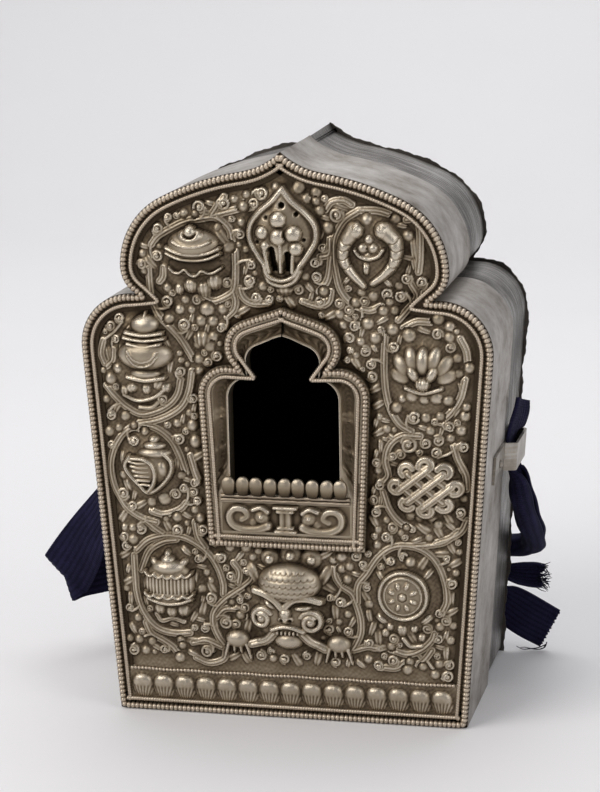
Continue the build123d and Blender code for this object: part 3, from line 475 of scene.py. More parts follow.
# Curls of the vine, each with the stalk that ties it to the nearest stem: x, z, radius.
vine_curls = (
    (-43.2, 173.5, 2.2), (-39.5, 177.5, 1.6), (-28.3, 181.3, 2.6), (-19.6, 182.6, 2.4), (-8.9, 182.6, 2.1),
    (-6.3, 186.3, 2.5), (-43.5, 164, 2.1), (-14, 172.2, 1.9), (-10.4, 161.9, 1.9), (-11, 156.2, 2.3),
    (-8.9, 150.5, 2.0), (-4.3, 149.9, 1.7), (-40.5, 148.2, 2.3), (-34.5, 140.3, 2.5), (-21.5, 139.5, 1.9),
    (-57.8, 142, 2.0), (-59.2, 135, 1.6), (-62.2, 107.5, 2.0), (-36.5, 124, 1.9), (-32.2, 114.3, 1.9),
    (-37.7, 100, 2.2), (-62.5, 96.8, 1.7), (-53.8, 98.6, 1.9), (-58.5, 79.5, 2.4), (-55.3, 75, 1.9),
    (-36.5, 82.4, 1.8), (-32.6, 84.3, 1.8), (-31.7, 77.8, 1.7), (-52.7, 66.7, 2.2), (-58.3, 60.5, 2.0),
    (-39.5, 67, 2.2), (-30, 67.3, 2.1), (-58, 37.5, 1.7), (-57, 22, 2.2), (-45.4, 22.8, 1.8),
    (-32, 56.8, 1.7), (-28, 42.8, 2.3), (-23.8, 57.8, 2.1), (-15, 53.3, 1.5), (-20.6, 51, 1.9),
    (-17.3, 42.5, 1.5), (-22.5, 34, 2.5), (-30.5, 31.5, 1.8), (-29.8, 23, 2.5), (19.3, 179.3, 2.7),
    (14.3, 168, 1.7), (12, 162.8, 2.0), (12, 158, 2.0), (13.5, 149.5, 2.2), (25, 141.3, 2.0),
    (43, 158.2, 2.0), (48.3, 157, 2.1), (41, 152.2, 2.3), (38.5, 134.5, 2.0), (30.3, 128.5, 2.0),
    (62, 100.8, 2.0), (43, 100.7, 3.2), (37.7, 96.5, 1.6), (52.5, 98.3, 2.0), (32.7, 86.3, 1.9),
    (60.7, 77.7, 2.0), (31.3, 76.7, 2.0), (35, 68, 2.0), (26.5, 57.5, 1.7), (15, 45, 1.5), (18.5, 43.5, 2.0),
    (21, 33, 1.9), (28, 49.5, 1.6), (36.5, 59.3, 1.6), (40.7, 61, 1.8), (53.3, 41.3, 1.7), (52.8, 32, 1.8),
    (56, 61.2, 1.4), (57.7, 52.3, 2.1), (28.5, 29.5, 1.7), (31.5, 21.3, 1.9), (37, 23.5, 2.2),
    (56, 18.5, 2.2), (45, 110.5, 2.5), (57.3, 107.5, 2.0), (36.5, 152.8, 2.2), (-43.3, 113.9, 1.9),
)
stem_points = np.concatenate([smooth_line(stem) for stem in vine_stems])
for x, z, radius in vine_curls:
    apart = np.hypot(stem_points[:, 0] - x, stem_points[:, 1] - z)
    near = stem_points[np.where(apart > radius * 1.1, apart, 99).argmin()]
    hand = 1 if (x * 7 + z * 3) % 2 < 1 else -1
    bearing = np.degrees(np.arctan2(near[1] - z, near[0] - x))
    start = bearing - hand * 75
    curl(x, z, 1.15 * radius, start, hand, rise=1.9)
    outward = np.array([np.cos(np.radians(start)), np.sin(np.radians(start))])
    edge = np.array([x, z]) + 0.8 * radius * outward
    bend = (edge + near) / 2 + 0.25 * radius * outward
    stroke((near, bend, edge), half=0.62, rise=1.5, taper=-0.2)

# Berries between the curls: x, z, radius.
vine_berries = (
    (-33.8, 179, 1.6), (-29.8, 178.8, 1.4), (-16, 184, 1.5), (-11.7, 185.7, 1.5), (-12.8, 181.5, 1.9),
    (-1.5, 188.7, 1.5), (-49, 164.8, 1.5), (-48.6, 158.6, 1.3), (-22, 174.3, 1.5), (-18.2, 167.8, 2.1),
    (-12.4, 166.9, 1.3), (-6.7, 154.3, 1.8), (-4.4, 155.9, 1.2), (-40.3, 153, 1.7), (-36.3, 145.5, 1.9),
    (-32, 145.5, 1.5), (-26.5, 145.6, 2.8), (-21, 146, 1.9), (-40, 142.3, 1.8), (-28.7, 141.8, 2.1),
    (-24.6, 141.8, 2.0), (-24.5, 136.2, 2.0), (-30.2, 133.6, 1.8), (-25.9, 133, 2.2), (-64.6, 123.3, 1.3),
    (-59.2, 124.3, 1.9), (-61.8, 120.5, 2.2), (-63.9, 113, 1.5), (-57, 107.3, 1.9), (-36.5, 130.3, 1.2),
    (-29.9, 128.3, 1.8), (-36, 127.8, 1.3), (-34, 109.2, 1.4), (-38.4, 105.3, 1.7), (-32.9, 104.8, 2.2),
    (-32, 99, 2.4), (-63.2, 101.5, 2.0), (-59.5, 103, 1.5), (-54, 104, 1.4), (-50, 102.3, 1.6),
    (-58.5, 86.3, 1.6), (-48.5, 76.7, 1.8), (-43.7, 78, 2.5), (-37.2, 86.8, 1.6), (-33, 74.5, 1.6),
    (-31, 71.5, 1.8), (-39.4, 71.5, 1.9), (-43.5, 70.8, 1.2), (-36, 69.5, 1.2), (-58.8, 67, 1.5),
    (-55.7, 62.7, 2.0), (-59, 44.7, 1.5), (-55, 34, 1.6), (-58.5, 26, 1.6), (-54.8, 26, 1.7),
    (-50, 25.5, 1.7), (-52.5, 22, 1.7), (-39.5, 26.5, 1.6), (-39, 24.5, 1.5), (-40, 20, 2.0),
    (-29.5, 52, 1.5), (-28, 49, 1.3), (-31, 46, 1.7), (-20.8, 61.5, 1.8), (-15, 61.8, 2.0),
    (-10.5, 60.8, 1.6), (-13.8, 46.5, 1.5), (-20.5, 41.5, 1.3), (-17.5, 37, 1.8), (6.5, 188.5, 2.3),
    (9.5, 184.8, 1.9), (12.3, 186.8, 2.0), (13.5, 180.5, 1.9), (16.3, 174.8, 2.2), (8.5, 158, 1.5),
    (14.5, 153, 1.8), (19.8, 145.3, 1.9), (29.5, 142.3, 2.2), (39.5, 178.3, 1.8), (43.5, 172.5, 1.9),
    (38, 140.5, 2.2), (43.5, 138.7, 2.5), (53.5, 144.7, 2.3), (57.5, 142, 2.0), (26.8, 136, 1.6),
    (32, 137.5, 2.2), (25.2, 131.3, 1.3), (57.3, 138.2, 1.9), (60, 131.3, 1.7), (60.5, 126, 1.6),
    (64, 128, 2.0), (62.5, 111.3, 2.0), (61, 106.3, 2.0), (57.5, 103.5, 1.6), (33, 110.2, 1.4),
    (35.5, 106, 1.6), (50.5, 105.8, 1.7), (32.3, 91.3, 1.5), (62, 82.5, 1.5), (35, 73.8, 1.4),
    (32, 70.3, 1.5), (40, 69.5, 1.4), (42, 71.5, 1.3), (49.8, 68.3, 1.6), (16, 58.5, 1.5), (19, 60, 2.0),
    (19, 55.5, 1.6), (21.8, 56.5, 1.6), (21, 51.8, 1.7), (21, 39.2, 1.5), (17.7, 36.3, 1.3),
    (28.5, 43.5, 1.8), (53.3, 36.5, 1.7), (58, 37, 1.5), (57, 31.7, 1.7), (60.2, 63.5, 1.3), (59, 56, 1.4),
    (28, 23.3, 1.7), (36.2, 28.5, 1.6), (42.7, 23.3, 1.6), (41.8, 20.2, 1.9), (47.3, 21.7, 1.6),
    (53, 23, 1.8), (51.5, 19, 1.8), (27.5, 153, 1.7), (31.5, 151.7, 1.9), (25.5, 149.5, 1.8), (37, 150, 1.5),
    (34.8, 146.8, 1.8), (38.8, 147, 1.6), (44.5, 118, 2.3), (48.8, 117, 1.9), (53, 117.5, 2.4),
    (57, 116.5, 2.0), (41, 116.8, 1.5), (39, 113.5, 2.0), (49, 110.3, 1.8), (54, 111, 1.7), (43.5, 76, 2.0),
    (46.5, 75, 1.5), (51, 75, 1.8), (53, 73, 1.7),
)
for place_and_size in vine_berries:
    berry(*place_and_size)

# Jewel at the top: a full pointed drop with a soft rim, heaped with round gems on a stem in a crescent dish.
lump(1, 171.5, 10.4, 11.6, 2.6, roundness=0.4)
stroke(((1, 174.5), (1, 181), (1, 188.2)), half=9.0, rise=2.7, taper=0.97)
jewel_rim = ((1.0, 188), (-2.5, 183.8), (-7, 180), (-10.2, 175.5), (-10.4, 170.5), (-7.5, 165.5),
             (-4.6, 161.5))
for rim in (jewel_rim, tuple((2.0 - x, z) for x, z in jewel_rim)):
    stroke(rim, half=1.35, rise=2.9)
for gem in ((0, 177.7, 2.9), (0, 172, 2.9), (-5.8, 173.3, 2.3), (5.2, 173, 2.9), (6, 168, 2.4),
            (-4.6, 168.8, 1.7)):
    berry(*gem, foot=2.2)
for hole in ((1, 182.6, 1.2, 2.4), (6, 179.6, 0.9, 1.8), (-4.4, 178.4, 0.8, 1.2), (-7.6, 170, 0.8, 1.4),
             (8.6, 171, 0.8, 1.2)):
    pit(*hole)
for slot in (((-2.6, 167.6), (-1.9, 161)), ((3.0, 166), (2.8, 161))):
    stroke(slot, half=1.1, rise=2.8, cut=True)
for stalk in (((0.6, 169), (0.6, 160)), ((-5, 167), (-4.2, 163.5), (-3.4, 160)),
              ((4.8, 165.5), (4.6, 163), (4.4, 160))):
    stroke(stalk, half=0.9, rise=3.4)
jewel_dish = ((-5.4, 162.2), (-4, 158.4), (0.6, 156.9), (4.8, 158.6), (7, 162.2))
for drop in (0, 2.0):
    stroke([(x, z - drop) for x, z in jewel_dish], half=1.05, rise=3.3 - 0.3 * drop)
lump(1, 153.2, 3.2, 2.2, 2.4, ribs=3)

# Parasol: knob and full dome over a double brim, a smooth valance painted dark as the shade under the brim,
# with a scalloped hem, a lotus foot.
valance_shade = np.zeros_like(swell)
lump(-30.2, 168.4, 9.2, 5.6, 4.2, foot=0.6)
stroke(((-37, 169.9), (-34, 168.6), (-30.4, 168.2), (-27, 168.6), (-23.8, 169.9)), half=0.7, rise=5.3)
lump(-30.6, 171.6, 5.4, 2.8, 4.6, foot=0.8)
berry(-30.8, 173.4, 2.1, foot=3.4)
parasol_brim = ((-39.6, 167.6), (-35, 165.9), (-30, 165.4), (-25, 165.9), (-20.8, 167.6))
for rise, drop in ((4.6, 0), (4.2, 1.9)):
    stroke([(x, z - drop) for x, z in parasol_brim], half=0.85, rise=rise)
lump(-29.8, 161.8, 9.4, 4.0, 2.6, roundness=0.3)
# Painted shade: the valance under the brim is darkened in the colour.
cell, across, up = window_at(-29.8, 161.6, 9.2, 3.0)
valance_shade[cell] += 0.34 * ((across / 9.2) ** 4 + (up / 2.6) ** 4 < 1)
stroke(((-38.8, 160.6), (-37, 159), (-35, 158.9), (-33, 160.2), (-31.4, 158.4), (-29.4, 157.9), (-27, 159.8),
        (-25, 159), (-23, 159.2), (-20.4, 160.8)), half=0.65, rise=3.4)
for ball in ((-36, 152.7, 1.8), (-31.8, 154, 2.4), (-27, 152.7, 2.6), (-23.3, 155.5, 2.6)):
    lump(*ball[:2], ball[2] * 1.05, ball[2] * 1.2, 2.4, ribs=3, rib_depth=0.3)

# Vase: pointed lid, ringed neck, full belly with a swag, foot, and a lotus with a scroll fish.
lump(-48.3, 140.3, 5.0, 3.6, 3.0, foot=0.6)
stroke(((-48.3, 141.5), (-48.3, 144.4)), half=1.1, rise=3.0, taper=0.4)
for ring, half in ((137.2, 6.6), (135.4, 7.2), (133.4, 5.8)):
    stroke(((-48.5 - half, ring + 0.5), (-48.5, ring - 0.3), (-48.5 + half, ring + 0.5)), half=0.9, rise=3.9)
lump(-48.5, 129.8, 9.8, 5.4, 4.4, foot=0.4)
vase_swag = ((-54, 131.6), (-51.5, 128.6), (-48.5, 127.9), (-45.6, 128.8), (-43.4, 131.4))
for drop in (0, 1.7):
    stroke([(x, z - drop) for x, z in vase_swag], half=0.62, rise=5.0)
lump(-48.5, 123.2, 5.6, 1.9, 3.0)
stroke(((-55, 121.9), (-48.5, 120.9), (-42, 121.9)), half=1.1, rise=2.9)
for petal in ((-54, 117.7, 2.6, 1.9, 20), (-48.5, 117.5, 1.9, 2.1, 0), (-44.3, 119.4, 2.0, 2.3, -25),
              (-41.5, 118, 2.0, 2.0, 0), (-56.8, 116.5, 1.9, 1.9, 0)):
    lump(*petal[:4], 2.1, turn=petal[4], ribs=2, rib_depth=0.35)
stroke(((-57, 115), (-52, 113), (-46, 114.5), (-42, 117.5)), half=0.9, rise=1.9)
stroke(((-51.5, 110.7), (-47.5, 110.7), (-44.8, 112.6)), half=1.0, rise=1.8)

# Conch: a whorled spire over a heart-shaped shell whose ribbed mouth opens to the left.
lump(-46.3, 95, 6.2, 2.0, 3.0)
lump(-46.3, 97.6, 4.2, 1.6, 2.9)
lump(-46.4, 99.9, 2.0, 1.5, 2.6)
conch_rim = ((-55.3, 93.6), (-57, 89.5), (-52, 83.5), (-48.7, 80.6), (-44, 83.5), (-40.6, 88), (-40.3, 92),
             (-43, 95.2))
lump(-48.6, 89.4, 8.3, 6.6, 2.6, foot=0.3, roundness=0.6)
stroke(conch_rim, half=1.0, rise=2.9)
for rib in range(6):
    low = rib / 5.0
    stroke(((-55.4 + 3.6 * low, 92.0 - 8.4 * low), (-52 + 2.0 * low, 91.4 - 7.6 * low),
            (-48.4 + 0.5 * low, 91.8 - 8.2 * low)), half=0.72, rise=3.2)
stroke(((-54.5, 93.2), (-50, 93), (-47.2, 91.4), (-45.9, 88), (-46.6, 84.2), (-48.5, 81.5)), half=0.95,
       rise=3.9)
lump(-43.6, 89.6, 2.2, 3.6, 3.0, turn=12)

# Banner of victory: flame knob, leafy crown, scalloped canopy, fluted drum and hem on a lotus foot.
lump(-42.3, 48.2, 9.2, 8.4, 4.0, roundness=0.35)
for flute_x in np.linspace(-49.6, -35.0, 12):
    stroke(((flute_x, 50.2), (flute_x, 45.0)), half=0.4, rise=0.6, cut=True)
lump(-42.4, 54.0, 6.6, 3.2, 4.4)
lump(-42.6, 56.8, 2.9, 1.9, 3.6)
lump(-42.8, 58.9, 1.3, 1.5, 2.8)
for leaf_x, turn in ((-47.4, 50), (-37.4, -50)):
    lump(leaf_x, 55.4, 1.5, 2.4, 2.4, turn=turn)
for low, half in ((51.6, 8.4), (44.0, 8.8)):
    swing = np.linspace(0, 1, 31)
    scallop = low - 1.0 * np.abs(np.sin(np.pi * 5 * swing)) + 0.8 * (2 * swing - 1) ** 2
    stroke(tuple(zip(-42.3 + half * (2 * swing - 1), scallop)), half=0.75, rise=4.5)
stroke(((-50.2, 42.6), (-46, 41.2), (-42.3, 40.8), (-38.6, 41.2), (-34.4, 42.6)), half=1.0, rise=3.6)
for ball in ((-46.3, 38.3, 2.2), (-42, 37.3, 2.2), (-37.7, 37.8, 2.4)):
    lump(*ball[:2], ball[2] * 1.1, ball[2] * 1.1, 2.3, ribs=2, rib_depth=0.3)
stroke(((-48, 36), (-46, 33.5), (-42, 34.6), (-38, 33.4)), half=1.1, rise=1.9, lines=2)

# Two fishes: bodies bowed round a dish of pearls, heads up, tails crossed.
for body in (((25.5, 174.5), (22.2, 169.5), (21.8, 164.5), (24.5, 160), (28.6, 155.6)),
             ((36, 174.5), (39.8, 170), (39.2, 164), (35.8, 159.6), (31.8, 156.6))):
    stroke(body, half=3.1, rise=3.6, taper=0.55)
    for share in np.linspace(0.2, 0.6, 4):
        spine = smooth_line(body)
        here = spine[int(share * (len(spine) - 1))]
        ahead = spine[int(share * (len(spine) - 1)) + 1] - here
        side = np.array([-ahead[1], ahead[0]]) / np.hypot(*ahead) * 2.0
        stroke((here - side, here + ahead * 1.2, here + side), half=0.28, rise=0.55, cut=True)
for head_x, turn in ((26.2, -30), (35.4, 30)):
    lump(head_x, 174.4, 3.0, 3.3, 4.0, turn=turn)
    lump(head_x, 175.3, 0.9, 0.9, 5.0)
berry(29.7, 178, 2.0)
lump(30.7, 167.6, 5.2, 3.4, 1.6)
stroke(((26, 167.8), (27.6, 165.8), (30.6, 164.9), (33.8, 165.9), (35.4, 168)), half=0.9, rise=2.6)
for pearl in ((28.5, 168.4, 1.8), (32.1, 168.4, 1.8), (30.6, 171.4, 1.6)):
    berry(*pearl, foot=0.5)
for fin in ((22.6, 157.2, 1.2, 2.2, -40), (36.8, 156.6, 1.2, 2.0, 40), (29.6, 161.5, 1.4, 2.4, 0)):
    lump(*fin[:4], 2.0, turn=fin[4], ribs=2, rib_depth=0.4)

# Lotus: open flower of broad overlapping petals over a ribbed seed head.
for petal in ((40.6, 125.0, 2.6, 4.0, 68, 2.4), (56.4, 125.0, 2.6, 4.0, -68, 2.4),
              (41.4, 128.6, 2.6, 4.6, 38, 2.9), (55.4, 128.6, 2.6, 4.6, -38, 2.9),
              (44.8, 130.6, 2.5, 4.9, 15, 3.3), (52.2, 130.6, 2.5, 4.9, -15, 3.3),
              (48.5, 130.2, 2.6, 5.2, 0, 4.0), (45.2, 126.2, 2.0, 3.6, 28, 4.1),
              (51.8, 126.2, 2.0, 3.6, -28, 4.1)):
    lump(*petal[:4], petal[5], turn=petal[4], ribs=1, rib_depth=0.3)
lump(48.5, 122.6, 3.0, 2.9, 4.2, ribs=4, rib_depth=0.5)
stroke(((42.6, 121.0), (48.5, 119.4), (54.8, 121.0)), half=1.0, rise=2.4)

# Endless knot: bands of three fine lines woven aslant, turning back in loops at the edge.
for lean in (1, -1):
    for shift in (-5.6, 0.0, 5.6):
        reach = 7.8 - 0.25 * abs(shift)
        centre = np.array([49.0 + 0.72 * shift, 86.3 - 0.52 * lean * shift])
        arm = np.array([1.0, 0.80 * lean]) * reach * 0.78
        stroke((centre - arm, centre + arm), half=2.0, rise=3.0 + 0.25 * lean, lines=3)
knot_loops = ((38.9, 86.3, 90), (59.1, 86.3, -90), (42.6, 92.2, 40), (55.4, 92.2, -40), (42.6, 80.4, 140),
              (55.4, 80.4, -140), (49, 94.2, 0), (49, 78.4, 180))
for x, z, turn in knot_loops:
    angle = np.radians(turn + np.linspace(-105, 105, 7) + 90)
    stroke(tuple(zip(x + 2.3 * np.cos(angle), z + 2.0 * np.sin(angle))), half=1.6, rise=2.8, lines=2)

# Wheel: domed disc with a rim, eight petals round a hub and a jewel on top.
lump(41, 47.7, 9.2, 9.2, 2.8, roundness=0.6, foot=0.3)
angle = np.radians(np.linspace(0, 360, 25))
stroke(tuple(zip(41 + 8.3 * np.cos(angle), 47.7 + 8.3 * np.sin(angle))), half=0.95, rise=2.9)
stroke(tuple(zip(41 + 6.5 * np.cos(angle), 47.7 + 6.5 * np.sin(angle))), half=0.45, rise=2.7)
for spoke in range(8):
    turn = 22.5 + 45 * spoke
    out = np.radians(turn)
    lump(41 + 4.0 * np.cos(out), 47.7 + 4.0 * np.sin(out), 2.0, 1.15, 3.9, turn=turn)
berry(41, 47.7, 1.4, foot=2.6)
berry(43.3, 59.4, 1.9)
for petal in ((33, 38.5, 1.6, 2.6, 50), (49, 39, 1.6, 2.6, -50)):
    lump(*petal[:4], 2.0, turn=petal[4], ribs=2, rib_depth=0.4)
for ball in ((36, 35.7, 1.5), (40.2, 34.5, 2.2), (44.5, 35.3, 1.5), (34.3, 33.5, 1.7), (47, 32.3, 1.6)):
    lump(*ball[:2], ball[2], ball[2] * 1.1, 2.0, ribs=2, rib_depth=0.25)
stroke(((40.5, 31.6), (43, 29), (47, 29.4)), half=0.9, rise=1.8)

# Beast mask: scaly brow under three jewels, ridged eyebrows, spiral cheeks, round jaw, whiskers and paws.
for x, z, radius in ((1, 60.2, 3.8), (8.4, 58.8, 3.8), (-6.4, 58.6, 3.4)):
    lump(x, z, radius, radius, 2.0, roundness=0.4)
    berry(x, z - 0.4, 1.7, foot=1.6)
lump(0.3, 37.8, 12.0, 9.6, 2.2, roundness=0.3)
lump(0.8, 50.2, 11.4, 7.4, 5.2, foot=0.5)
for row in range(5):
    for place_x in np.arange(-9.2, 10.3, 2.05) + 1.02 * (row % 2):
        drop = 54.9 - 2.2 * row
        if ((place_x / 10.0) ** 2 + ((drop - 50.2) / 6.6) ** 2) < 0.95:
            angle = np.radians(np.linspace(200, 340, 6))
            scale = tuple(zip(place_x + 0.6 + np.cos(angle), drop + np.sin(angle)))
            stroke(scale, half=0.3, rise=0.32, cut=True)
for ear, turn in ((13.2, -28), (-12.4, 28)):
    lump(ear, 53.0, 2.0, 4.4, 2.6, turn=turn, ribs=1, rib_depth=0.9)
for brow in (((-0.2, 42.4), (3, 45.0), (7.6, 45.4), (12, 44.2)),
             ((-1.8, 42), (-4.2, 44.6), (-8, 46.6), (-11.6, 47.4))):
    stroke(brow, half=1.8, rise=4.4, lines=2)
for eye in ((5.6, 41.8, 3.8, 1.3, 3.6, 6), (-6.0, 42.6, 3.0, 1.2, 3.4, -38)):
    lump(*eye[:5], turn=eye[5])
curl(-9.2, 37.4, 4.8, 20, 1, rise=2.3, foot=1.2)
curl(8.6, 36.6, 5.0, 160, -1, rise=2.3, foot=1.2)
lump(-0.4, 39.8, 2.6, 2.8, 4.8)
lump(-0.3, 37.6, 3.4, 1.7, 4.4)
for nostril in (-1.7, 1.2):
    pit(nostril, 37.2, 0.9, 2.0)
stroke(((-5.4, 33.6), (-1.8, 34.8), (2, 34.7), (6, 33.2)), half=1.2, rise=3.8)
for tooth in np.linspace(-3.4, 3.9, 6):
    lump(tooth, 32.4, 0.62, 1.1, 3.4)
lump(0.3, 29.2, 5.4, 3.2, 3.6, roundness=0.45)
for whisker in (((5.4, 32), (8.4, 28.8), (13, 26.4)), ((-4.8, 32), (-8, 28.8), (-13.2, 27))):
    stroke(whisker, half=2.0, rise=3.2, lines=3)
for knob in ((6.2, 23.4, 1.9), (-6.6, 24.4, 1.8)):
    curl(*knob, 90, 1)
for palm in (-18.5, 17.8):
    lump(palm, 28.4, 4.6, 3.4, 3.6, roundness=0.45)
    for toe, splay, tip in ((-3.2, -0.7, 21.4), (-1.1, -0.1, 23.6), (1.1, 0.1, 23.6), (3.2, 0.7, 21.2)):
        claw = ((palm + toe, 26.8), (palm + toe + splay, 24.4), (palm + toe + 2.2 * splay, tip))
        stroke(claw, half=1.0, rise=2.9, taper=0.6)

# Rosette above the window's left shoulder, and fan leaves in the larger gaps: x, z, half sizes, turn.
lump(-28.5, 135.5, 3.4, 3.0, 2.4, ribs=3, rib_depth=0.5)
fan_leaves = (
    (-46, 162, 2.0, 3.2, 40), (-20, 171, 2.0, 4.4, 35), (-26, 179.6, 1.6, 2.8, 70), (-33, 137, 1.6, 2.6, -30),
    (-62, 129, 1.5, 3.6, 10), (-59.6, 110.8, 1.7, 2.8, -30), (-57, 82.6, 1.8, 2.6, 20),
    (-36, 72.5, 1.4, 2.2, 60), (-48, 66.8, 1.3, 2.4, 60), (-57.4, 41, 1.5, 3.0, 0), (-57, 30, 1.5, 2.6, 30),
    (-48, 23.4, 1.4, 2.6, 60), (-33.6, 26.6, 2.0, 4.4, 85), (-35, 21.8, 1.4, 2.6, 70),
    (-26.4, 33, 1.3, 2.4, 10), (-17.4, 58.4, 1.5, 2.6, -40), (-27.2, 63.2, 1.4, 2.8, 40),
    (20.8, 182, 1.5, 3.4, 70), (45.4, 168, 1.5, 4.2, 5), (45.6, 163, 1.4, 2.6, 10),
    (13.8, 172, 1.4, 2.8, -20), (9.6, 154.2, 1.5, 2.4, 40), (22.6, 144, 1.4, 2.4, 60),
    (34.4, 143.6, 1.4, 2.6, -60), (48.6, 140.6, 1.5, 2.8, 70), (61.4, 121, 1.4, 2.8, 15),
    (59.4, 112.8, 1.4, 2.4, -30), (37.6, 103, 1.4, 2.4, 60), (33.4, 100, 1.3, 2.8, 0),
    (60.8, 93, 1.3, 2.6, 20), (33.2, 81, 1.3, 2.6, -10), (57.4, 72.6, 1.4, 2.6, 50),
    (45.6, 67.2, 1.3, 2.4, -70), (31.6, 27.5, 1.7, 3.6, -80), (25.2, 21.4, 1.3, 2.4, 50),
    (55.4, 27, 1.5, 2.8, 0), (46.4, 25.4, 1.3, 2.4, 40), (57.6, 47, 1.3, 2.6, 0), (22.6, 36.4, 1.4, 2.6, -30),
    (29.6, 34.6, 1.6, 3.2, -20), (28.6, 39.2, 1.5, 2.6, 10), (33, 54, 1.4, 2.6, 40),
    (49.6, 55.4, 1.4, 2.4, -40), (-36.6, 42, 1.4, 2.8, 10), (-34.4, 35.4, 1.5, 2.6, -30),
    (-33.2, 50.4, 1.3, 2.4, 0), (-51.2, 47, 1.4, 3.0, 0), (-51.6, 40.6, 1.3, 2.4, 10),
    (-36.4, 59.6, 1.4, 2.6, 50), (-48.6, 60.4, 1.4, 2.4, -50), (-39.8, 125.6, 1.3, 2.6, -10),
    (-56.8, 131, 1.3, 2.8, 10), (-41, 134.6, 1.3, 2.6, 30), (-54.6, 138.2, 1.3, 2.4, -40),
    (-58.4, 92.6, 1.2, 2.6, 0), (-38.6, 91.6, 1.2, 2.6, 0),
)
for x, z, half_width, half_height, turn in fan_leaves:
    lump(x, z, half_width, half_height, 1.6, turn=turn, ribs=2, rib_depth=0.45)

# Lotus petals along the foot: rounded scales, smooth above, with short ribs that fan from the heel.
for petal_x in (np.arange(15) - 7) * 7.7:
    cell, across, up = window_at(petal_x, 9.0, 3.9, 5.0)
    inside = 1 - (np.abs(across + 0.08 * up) / 3.9) ** 2.4 - (np.abs(up) / 4.4) ** 2.4
    fan = np.arctan2(across + 0.5, up + 9.5)
    ribs = (0.5 + 0.5 * np.cos(2 * np.pi * fan / 0.135)) * np.clip(0.6 - up, 0, 1) * (inside > 0.1)
    rise = 2.7 * np.maximum(inside, 0) ** 0.45 * (0.8 + 0.06 * up) - 0.5 * ribs
    chased[cell] = np.where(inside > 0, np.maximum(chased[cell], rise), chased[cell])

plane_x, plane_z = np.meshgrid(raster_x, raster_z, indexing="ij")


def within(line, x, z):
    """True where (x, z) is inside a closed line: an odd number of its runs cross the ray to the right."""
    odd = np.zeros(x.shape, bool)
    for (x0, z0), (x1, z1) in zip(line, np.roll(line, -1, 0)):
        if z0 != z1:
            odd ^= ((z0 > z) != (z1 > z)) & (x < x0 + (z - z0) * (x1 - x0) / (z1 - z0))
    return odd


def blurred(height, reach):
    """Mean of a height over a square of 2 * reach + 1 cells, by running sums along each side."""
    for axis in (0, 1):
        padded = np.pad(height, [(reach + 1, reach) if a == axis else (0, 0) for a in (0, 1)], mode="edge")
        total = np.cumsum(padded, axis)
        take = np.arange(height.shape[axis])
        height = (np.take(total, take + 2 * reach + 1, axis) - np.take(total, take, axis)) / (2 * reach + 1)
    return height


frame_shape = dict(foot_half=27.6, shoulder=(30, 31.5), notch=(17.2, 21.0), flank=(20.3, 14.0),
                   corner=(14.5, 5.3), crown=(6.2, 2.3))
frame_foot, frame_height = 62.5, 85.0
frame_line = lobed_line(frame_foot, frame_height, **frame_shape)

# Small curls, leaves and berries fill what ground is left: each goes where the nearest form is farthest off.
sparse_x, sparse_z = plane_x[::3, ::3], plane_z[::3, ::3]
filler_most, filler_least, filler_size = 420, 1.2, 2.2
taken = (chased[::3, ::3] > 0.25) | (sparse_z < 20.5)
taken |= ~within(inset(case_line, 6.4), sparse_x, sparse_z)
taken |= within(inset(frame_line, -0.8), sparse_x, sparse_z)
for x, z, half_width, half_height, _ in emblem_swells:
    taken |= ((sparse_x - x) / half_width) ** 2 + ((sparse_z - z) / half_height) ** 2 < 0.8
edge = taken & ~(np.roll(taken, 1, 0) & np.roll(taken, -1, 0) & np.roll(taken, 1, 1) & np.roll(taken, -1, 1))
edge_x, edge_z = sparse_x[edge], sparse_z[edge]
room = np.array([np.min((x[:, None] - edge_x) ** 2 + (z[:, None] - edge_z) ** 2, 1)
                 for x, z in zip(sparse_x, sparse_z)]) ** 0.5
room[taken] = 0
for number in range(filler_most):
    at = np.unravel_index(room.argmax(), room.shape)
    if room[at] < filler_least:
        break
    x, z, radius = sparse_x[at], sparse_z[at], min(0.95 * room[at], filler_size)
    toward = np.argmin((edge_x - x) ** 2 + (edge_z - z) ** 2)
    bearing = np.degrees(np.arctan2(edge_z[toward] - z, edge_x[toward] - x))
    if number % 7 in (0, 2, 4):
        curl(x, z, radius * 1.1, bearing, 1 if number % 2 else -1, rise=1.5)
    elif number % 7 == 6:
        berry(x, z, radius * 0.75)
    else:
        lump(x, z, radius * 0.9, radius * 1.4, 1.5, turn=bearing - 60, ribs=2, rib_depth=0.45)
    room = np.minimum(room, np.maximum(np.hypot(sparse_x - x, sparse_z - z) - 0.9 * radius, 0))

# Ground: fine punch marks in rings round the emblems. The sheet is one skin, so its ground is raised with the
# forms where these stand close, and it is sunk along the border and round the frame.
ground_share = 0.66
ring_from = np.min([np.hypot(plane_x - x, (plane_z - z) * 0.9) for x, z, *_ in emblem_swells], 0)
waver = 0.8 * np.sin(plane_x * 0.31 + 0.4 * np.sin(plane_z * 0.23)) * np.sin(plane_z * 0.27)
punched = (0.02 * np.cos(2 * np.pi * (ring_from + waver) / 1.35)
           + 0.07 * np.sin(plane_x * 2.9 + np.sin(plane_z * 1.7))
           * np.sin(plane_z * 3.1 + np.sin(plane_x * 1.9)))
raised = ground_share * blurred(blurred(np.maximum(chased, 0), 3), 3) - sunk
relief = swell + np.maximum(chased, raised) + punched * np.exp(-np.maximum(chased - raised, 0) * 1.5)

